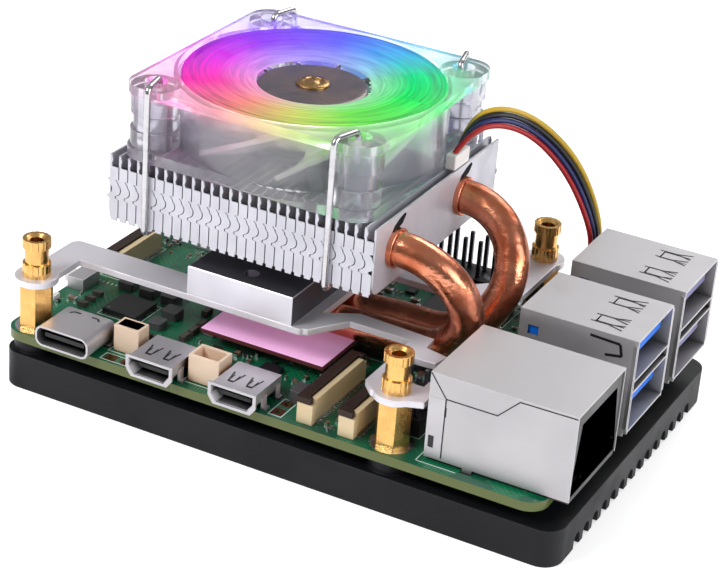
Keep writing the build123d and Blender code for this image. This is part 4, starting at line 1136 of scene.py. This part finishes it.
class COOLER_OT_fan(Operator):
    """Clear fan frame, motor, lit rotor and the spring wire clips"""

    bl_idname = "cooler.fan"
    bl_label = "Fan"

    def execute(self, context):
        dressed_copy("fan_frame", frosted_clear(), 0.25 * MM, 2, 40.0)
        paint("fan_bearing", bearing_brass())
        paint("fan_board", solder_mask())
        paint("stator_core", screw_steel())
        paint("stator_windings", polished_copper())
        paint("rotor_magnet", header_black())
        paint("rotor_shaft", screw_steel())
        dressed_copy("rotor_bushing", bearing_brass(), 0.15 * MM)
        dressed_copy("fan_clips", spring_wire(), 0.0, angle=50.0)
        self.rotor()
        self.bearing_cap()
        return {"FINISHED"}

    def rotor(self):
        """The rotor's own blades and hub, and over them the skin of light that they sweep when they turn."""
        piece = dressed_copy("fan_rotor", lit_blade(), 0.0, angle=50.0)
        x0, x1, y0, y1, _, _ = board_box("fan_rotor")
        piece.data.materials.append(hub_grey())
        hub_limit = 8.35 * MM
        centre = at((x0 + x1) / 2, (y0 + y1) / 2, 0)
        for face in piece.data.polygons:
            mid = face.center - centre
            if math.hypot(mid.x, mid.y) < hub_limit:
                face.material_index = 1
        profile = [(19.0, 36.3), (18.9, 37.3), (18.6, 37.7), (14.0, 37.65), (10.6, 37.1), (8.3, 36.55)]
        bm, _ = turned_skin(profile, "fan_rotor", 128)
        new_piece("rotor_sweep", bm, rotor_glow(), "rotor", smooth_angle=60)

    def bearing_cap(self):
        """Chrome dome of the shaft end inside its brass ring."""
        z1 = board_box("rotor_bushing")[5]
        profile = [(0.02, z1 + 0.32), (0.5, z1 + 0.28), (0.9, z1 + 0.12), (1.05, z1 - 0.05),
                   (1.5, z1 - 0.05),
                   (1.6, z1 + 0.16), (2.2, z1 + 0.16), (2.38, z1)]
        bm, rings = turned_skin(reversed(profile), "rotor_bushing", 48)
        bm.faces.new(rings[-1])
        new_piece("bearing_cap", bm, bearing_brass(), "rotor", smooth_angle=50)


class COOLER_OT_lead(Operator):
    """The fan's four-wire lead with its grommet and plug"""

    bl_idname = "cooler.lead"
    bl_label = "Fan lead"

    route = [
        ((53.00, 35.50, 29.5), (-0.15, 0.99, 0.00)),
        ((54.20, 36.80, 33.4), (-0.50, 0.75, 0.43)),
        ((57.40, 40.30, 34.4), (-0.25, 0.45, 0.86)),
        ((61.20, 44.60, 31.8), (0.10, 0.35, 0.93)),
        ((65.20, 48.80, 26.0), (0.40, 0.55, 0.73)),
        ((67.90, 51.70, 19.0), (0.30, 0.87, 0.40)),
        ((69.30, 53.20, 12.6), (0.10, 0.99, 0.10)),
        ((68.20, 52.00, 8.2), (0.00, 1.00, 0.00)),
        ((68.20, 52.00, 5.2), (0.00, 1.00, 0.00)),
    ]
    wires = [
        ("red", -1.5, (0.42, 0.010, 0.012), 43.5),
        ("blue", -0.5, (0.012, 0.018, 0.11), 44.7),
        ("black", 0.5, (0.010, 0.010, 0.014), 46.0),
        ("yellow", 1.5, (0.60, 0.38, 0.03), 47.6),
    ]

    def execute(self, context):
        dressed_copy("lead_grommet", white_nylon(), 0.2 * MM)
        dressed_copy("fan_plug", white_nylon(), 0.12 * MM)
        for colour, place_across, shade, length in self.wires:
            points = [at(*p) + Vector(d) * (place_across * LEAD_PITCH * MM) for p, d in self.route]
            data = bpy.data.curves.new(f"lead_{colour}", "CURVE")
            data.dimensions = "3D"
            data.resolution_u = 16
            data.bevel_depth = LEAD_DIAMETER / 2 * MM
            data.bevel_resolution = 5
            data.use_fill_caps = True
            line = data.splines.new("NURBS")
            line.points.add(len(points) - 1)
            for target, point in zip(line.points, points):
                target.co = (*point, 1.0)
            line.order_u = 3
            line.use_endpoint_u = True
            data.materials.append(wire_skin(f"wire_{colour}", shade))
            wire = bpy.data.objects.new(f"lead_{colour}", data)
            bpy.context.scene.collection.objects.link(wire)
            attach(wire, ROOT)
            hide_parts(f"fan_wire_{colour}")
        return {"FINISHED"}


class COOLER_OT_stage(Operator):
    """Pale floor, soft lights, sky and camera"""

    bl_idname = "cooler.stage"
    bl_label = "Stage"

    azimuth, elevation, distance, roll = 25.95, 26.74, 316.43, 4.51
    target = (44.81, 24.34, 10.0)
    focal = 110.6

    def execute(self, context):
        self.camera(context.scene)
        self.floor()
        self.sky(context.scene)
        self.lights()
        context.scene.view_settings.view_transform = "Standard"
        return {"FINISHED"}

    def camera(self, scene):
        data = bpy.data.cameras.new("camera")
        data.lens = self.focal
        data.clip_start = 0.01
        data.clip_end = 20.0
        camera = bpy.data.objects.new("camera", data)
        scene.collection.objects.link(camera)
        turn, lift = math.radians(self.azimuth), math.radians(self.elevation)
        away = Vector((math.sin(turn) * math.cos(lift), -math.cos(turn) * math.cos(lift), math.sin(lift)))
        looking = (-away).to_track_quat("-Z", "Y").to_matrix().to_4x4()
        spot = Matrix.Translation(at(*self.target) + away * self.distance * MM)
        camera.matrix_world = spot @ looking @ Matrix.Rotation(math.radians(self.roll), 4, "Z")
        scene.camera = camera

    def floor(self):
        bm = bmesh.new()
        bmesh.ops.create_grid(bm, x_segments=1, y_segments=1, size=4.0)
        mesh = bpy.data.meshes.new("floor")
        bm.to_mesh(mesh)
        bm.free()
        floor = bpy.data.objects.new("floor", mesh)
        floor.location.z = CAD_LOW.z
        bpy.context.scene.collection.objects.link(floor)
        paper = finish_material("floor_white", (0.93, 0.93, 0.94), 0.6, tint=(0.91, 0.91, 0.92), grain=60.0,
                                smudge=4.0, grain_bump=0.0)
        shader = paper.node_tree.nodes["Principled BSDF"]
        shader.inputs["Emission Color"].default_value = (1.0, 1.0, 1.0, 1.0)
        shader.inputs["Emission Strength"].default_value = 0.42
        floor.data.materials.append(paper)

    def sky(self, scene):
        world = bpy.data.worlds.new("soft_sky")
        world.use_nodes = True
        tree = world.node_tree
        background = tree.nodes["Background"]
        coords = add(tree, "ShaderNodeTexCoord").outputs["Generated"]
        height = add(tree, "ShaderNodeSeparateXYZ", {0: coords}).outputs["Z"]
        side = add(tree, "ShaderNodeSeparateXYZ", {0: coords}).outputs["X"]
        shade = spread(tree, height, -0.1, 0.85, 0.16, 0.75)
        shade = maths(tree, "MULTIPLY", shade, spread(tree, side, -0.8, 0.9, 1.15, 0.6))
        tree.links.new(shade, background.inputs["Color"])
        background.inputs["Strength"].default_value = 0.62
        scene.world = world

    def lights(self):
        centre = (CAD_LOW + CAD_HIGH) / 2
        for name, spot, size, power in (("key", (-0.40, -0.50, 0.62), 0.32, 4.8),
                                        ("fill", (0.70, -0.05, 0.30), 0.45, 3.0),
                                        ("rim", (0.10, 0.70, 0.55), 0.50, 3.2)):
            data = bpy.data.lights.new(name, "AREA")
            data.size = size
            data.energy = power
            light = bpy.data.objects.new(name, data)
            bpy.context.scene.collection.objects.link(light)
            light.location = centre + Vector(spot)
            light.rotation_euler = (-Vector(spot)).to_track_quat("-Z", "Y").to_euler()


STEPS = ("base", "board", "chips", "front_ports", "side_ports", "sockets", "cooler", "fan", "lead", "stage")


class COOLER_PT_panel(Panel):
    """Settings and one button for each group of pieces"""

    bl_idname = "COOLER_PT_panel"
    bl_label = "Board computer"
    bl_space_type = "VIEW_3D"
    bl_region_type = "UI"
    bl_category = "Board"

    def draw(self, context):
        for name in CoolerSettings.__annotations__:
            self.layout.prop(context.scene.cooler_settings, name)
        for step in STEPS:
            self.layout.operator(f"cooler.{step}")


CLASSES = (CoolerSettings, COOLER_OT_base, COOLER_OT_board, COOLER_OT_chips, COOLER_OT_front_ports,
           COOLER_OT_side_ports, COOLER_OT_sockets, COOLER_OT_cooler, COOLER_OT_fan, COOLER_OT_lead,
           COOLER_OT_stage, COOLER_PT_panel)


def register():
    for cls in CLASSES:
        bpy.utils.register_class(cls)
    bpy.types.Scene.cooler_settings = PointerProperty(type=CoolerSettings)


def unregister():
    del bpy.types.Scene.cooler_settings
    for cls in reversed(CLASSES):
        bpy.utils.unregister_class(cls)


def main():
    register()
    for step in STEPS:
        getattr(bpy.ops.cooler, step)()


if __name__ == "__main__":
    main()
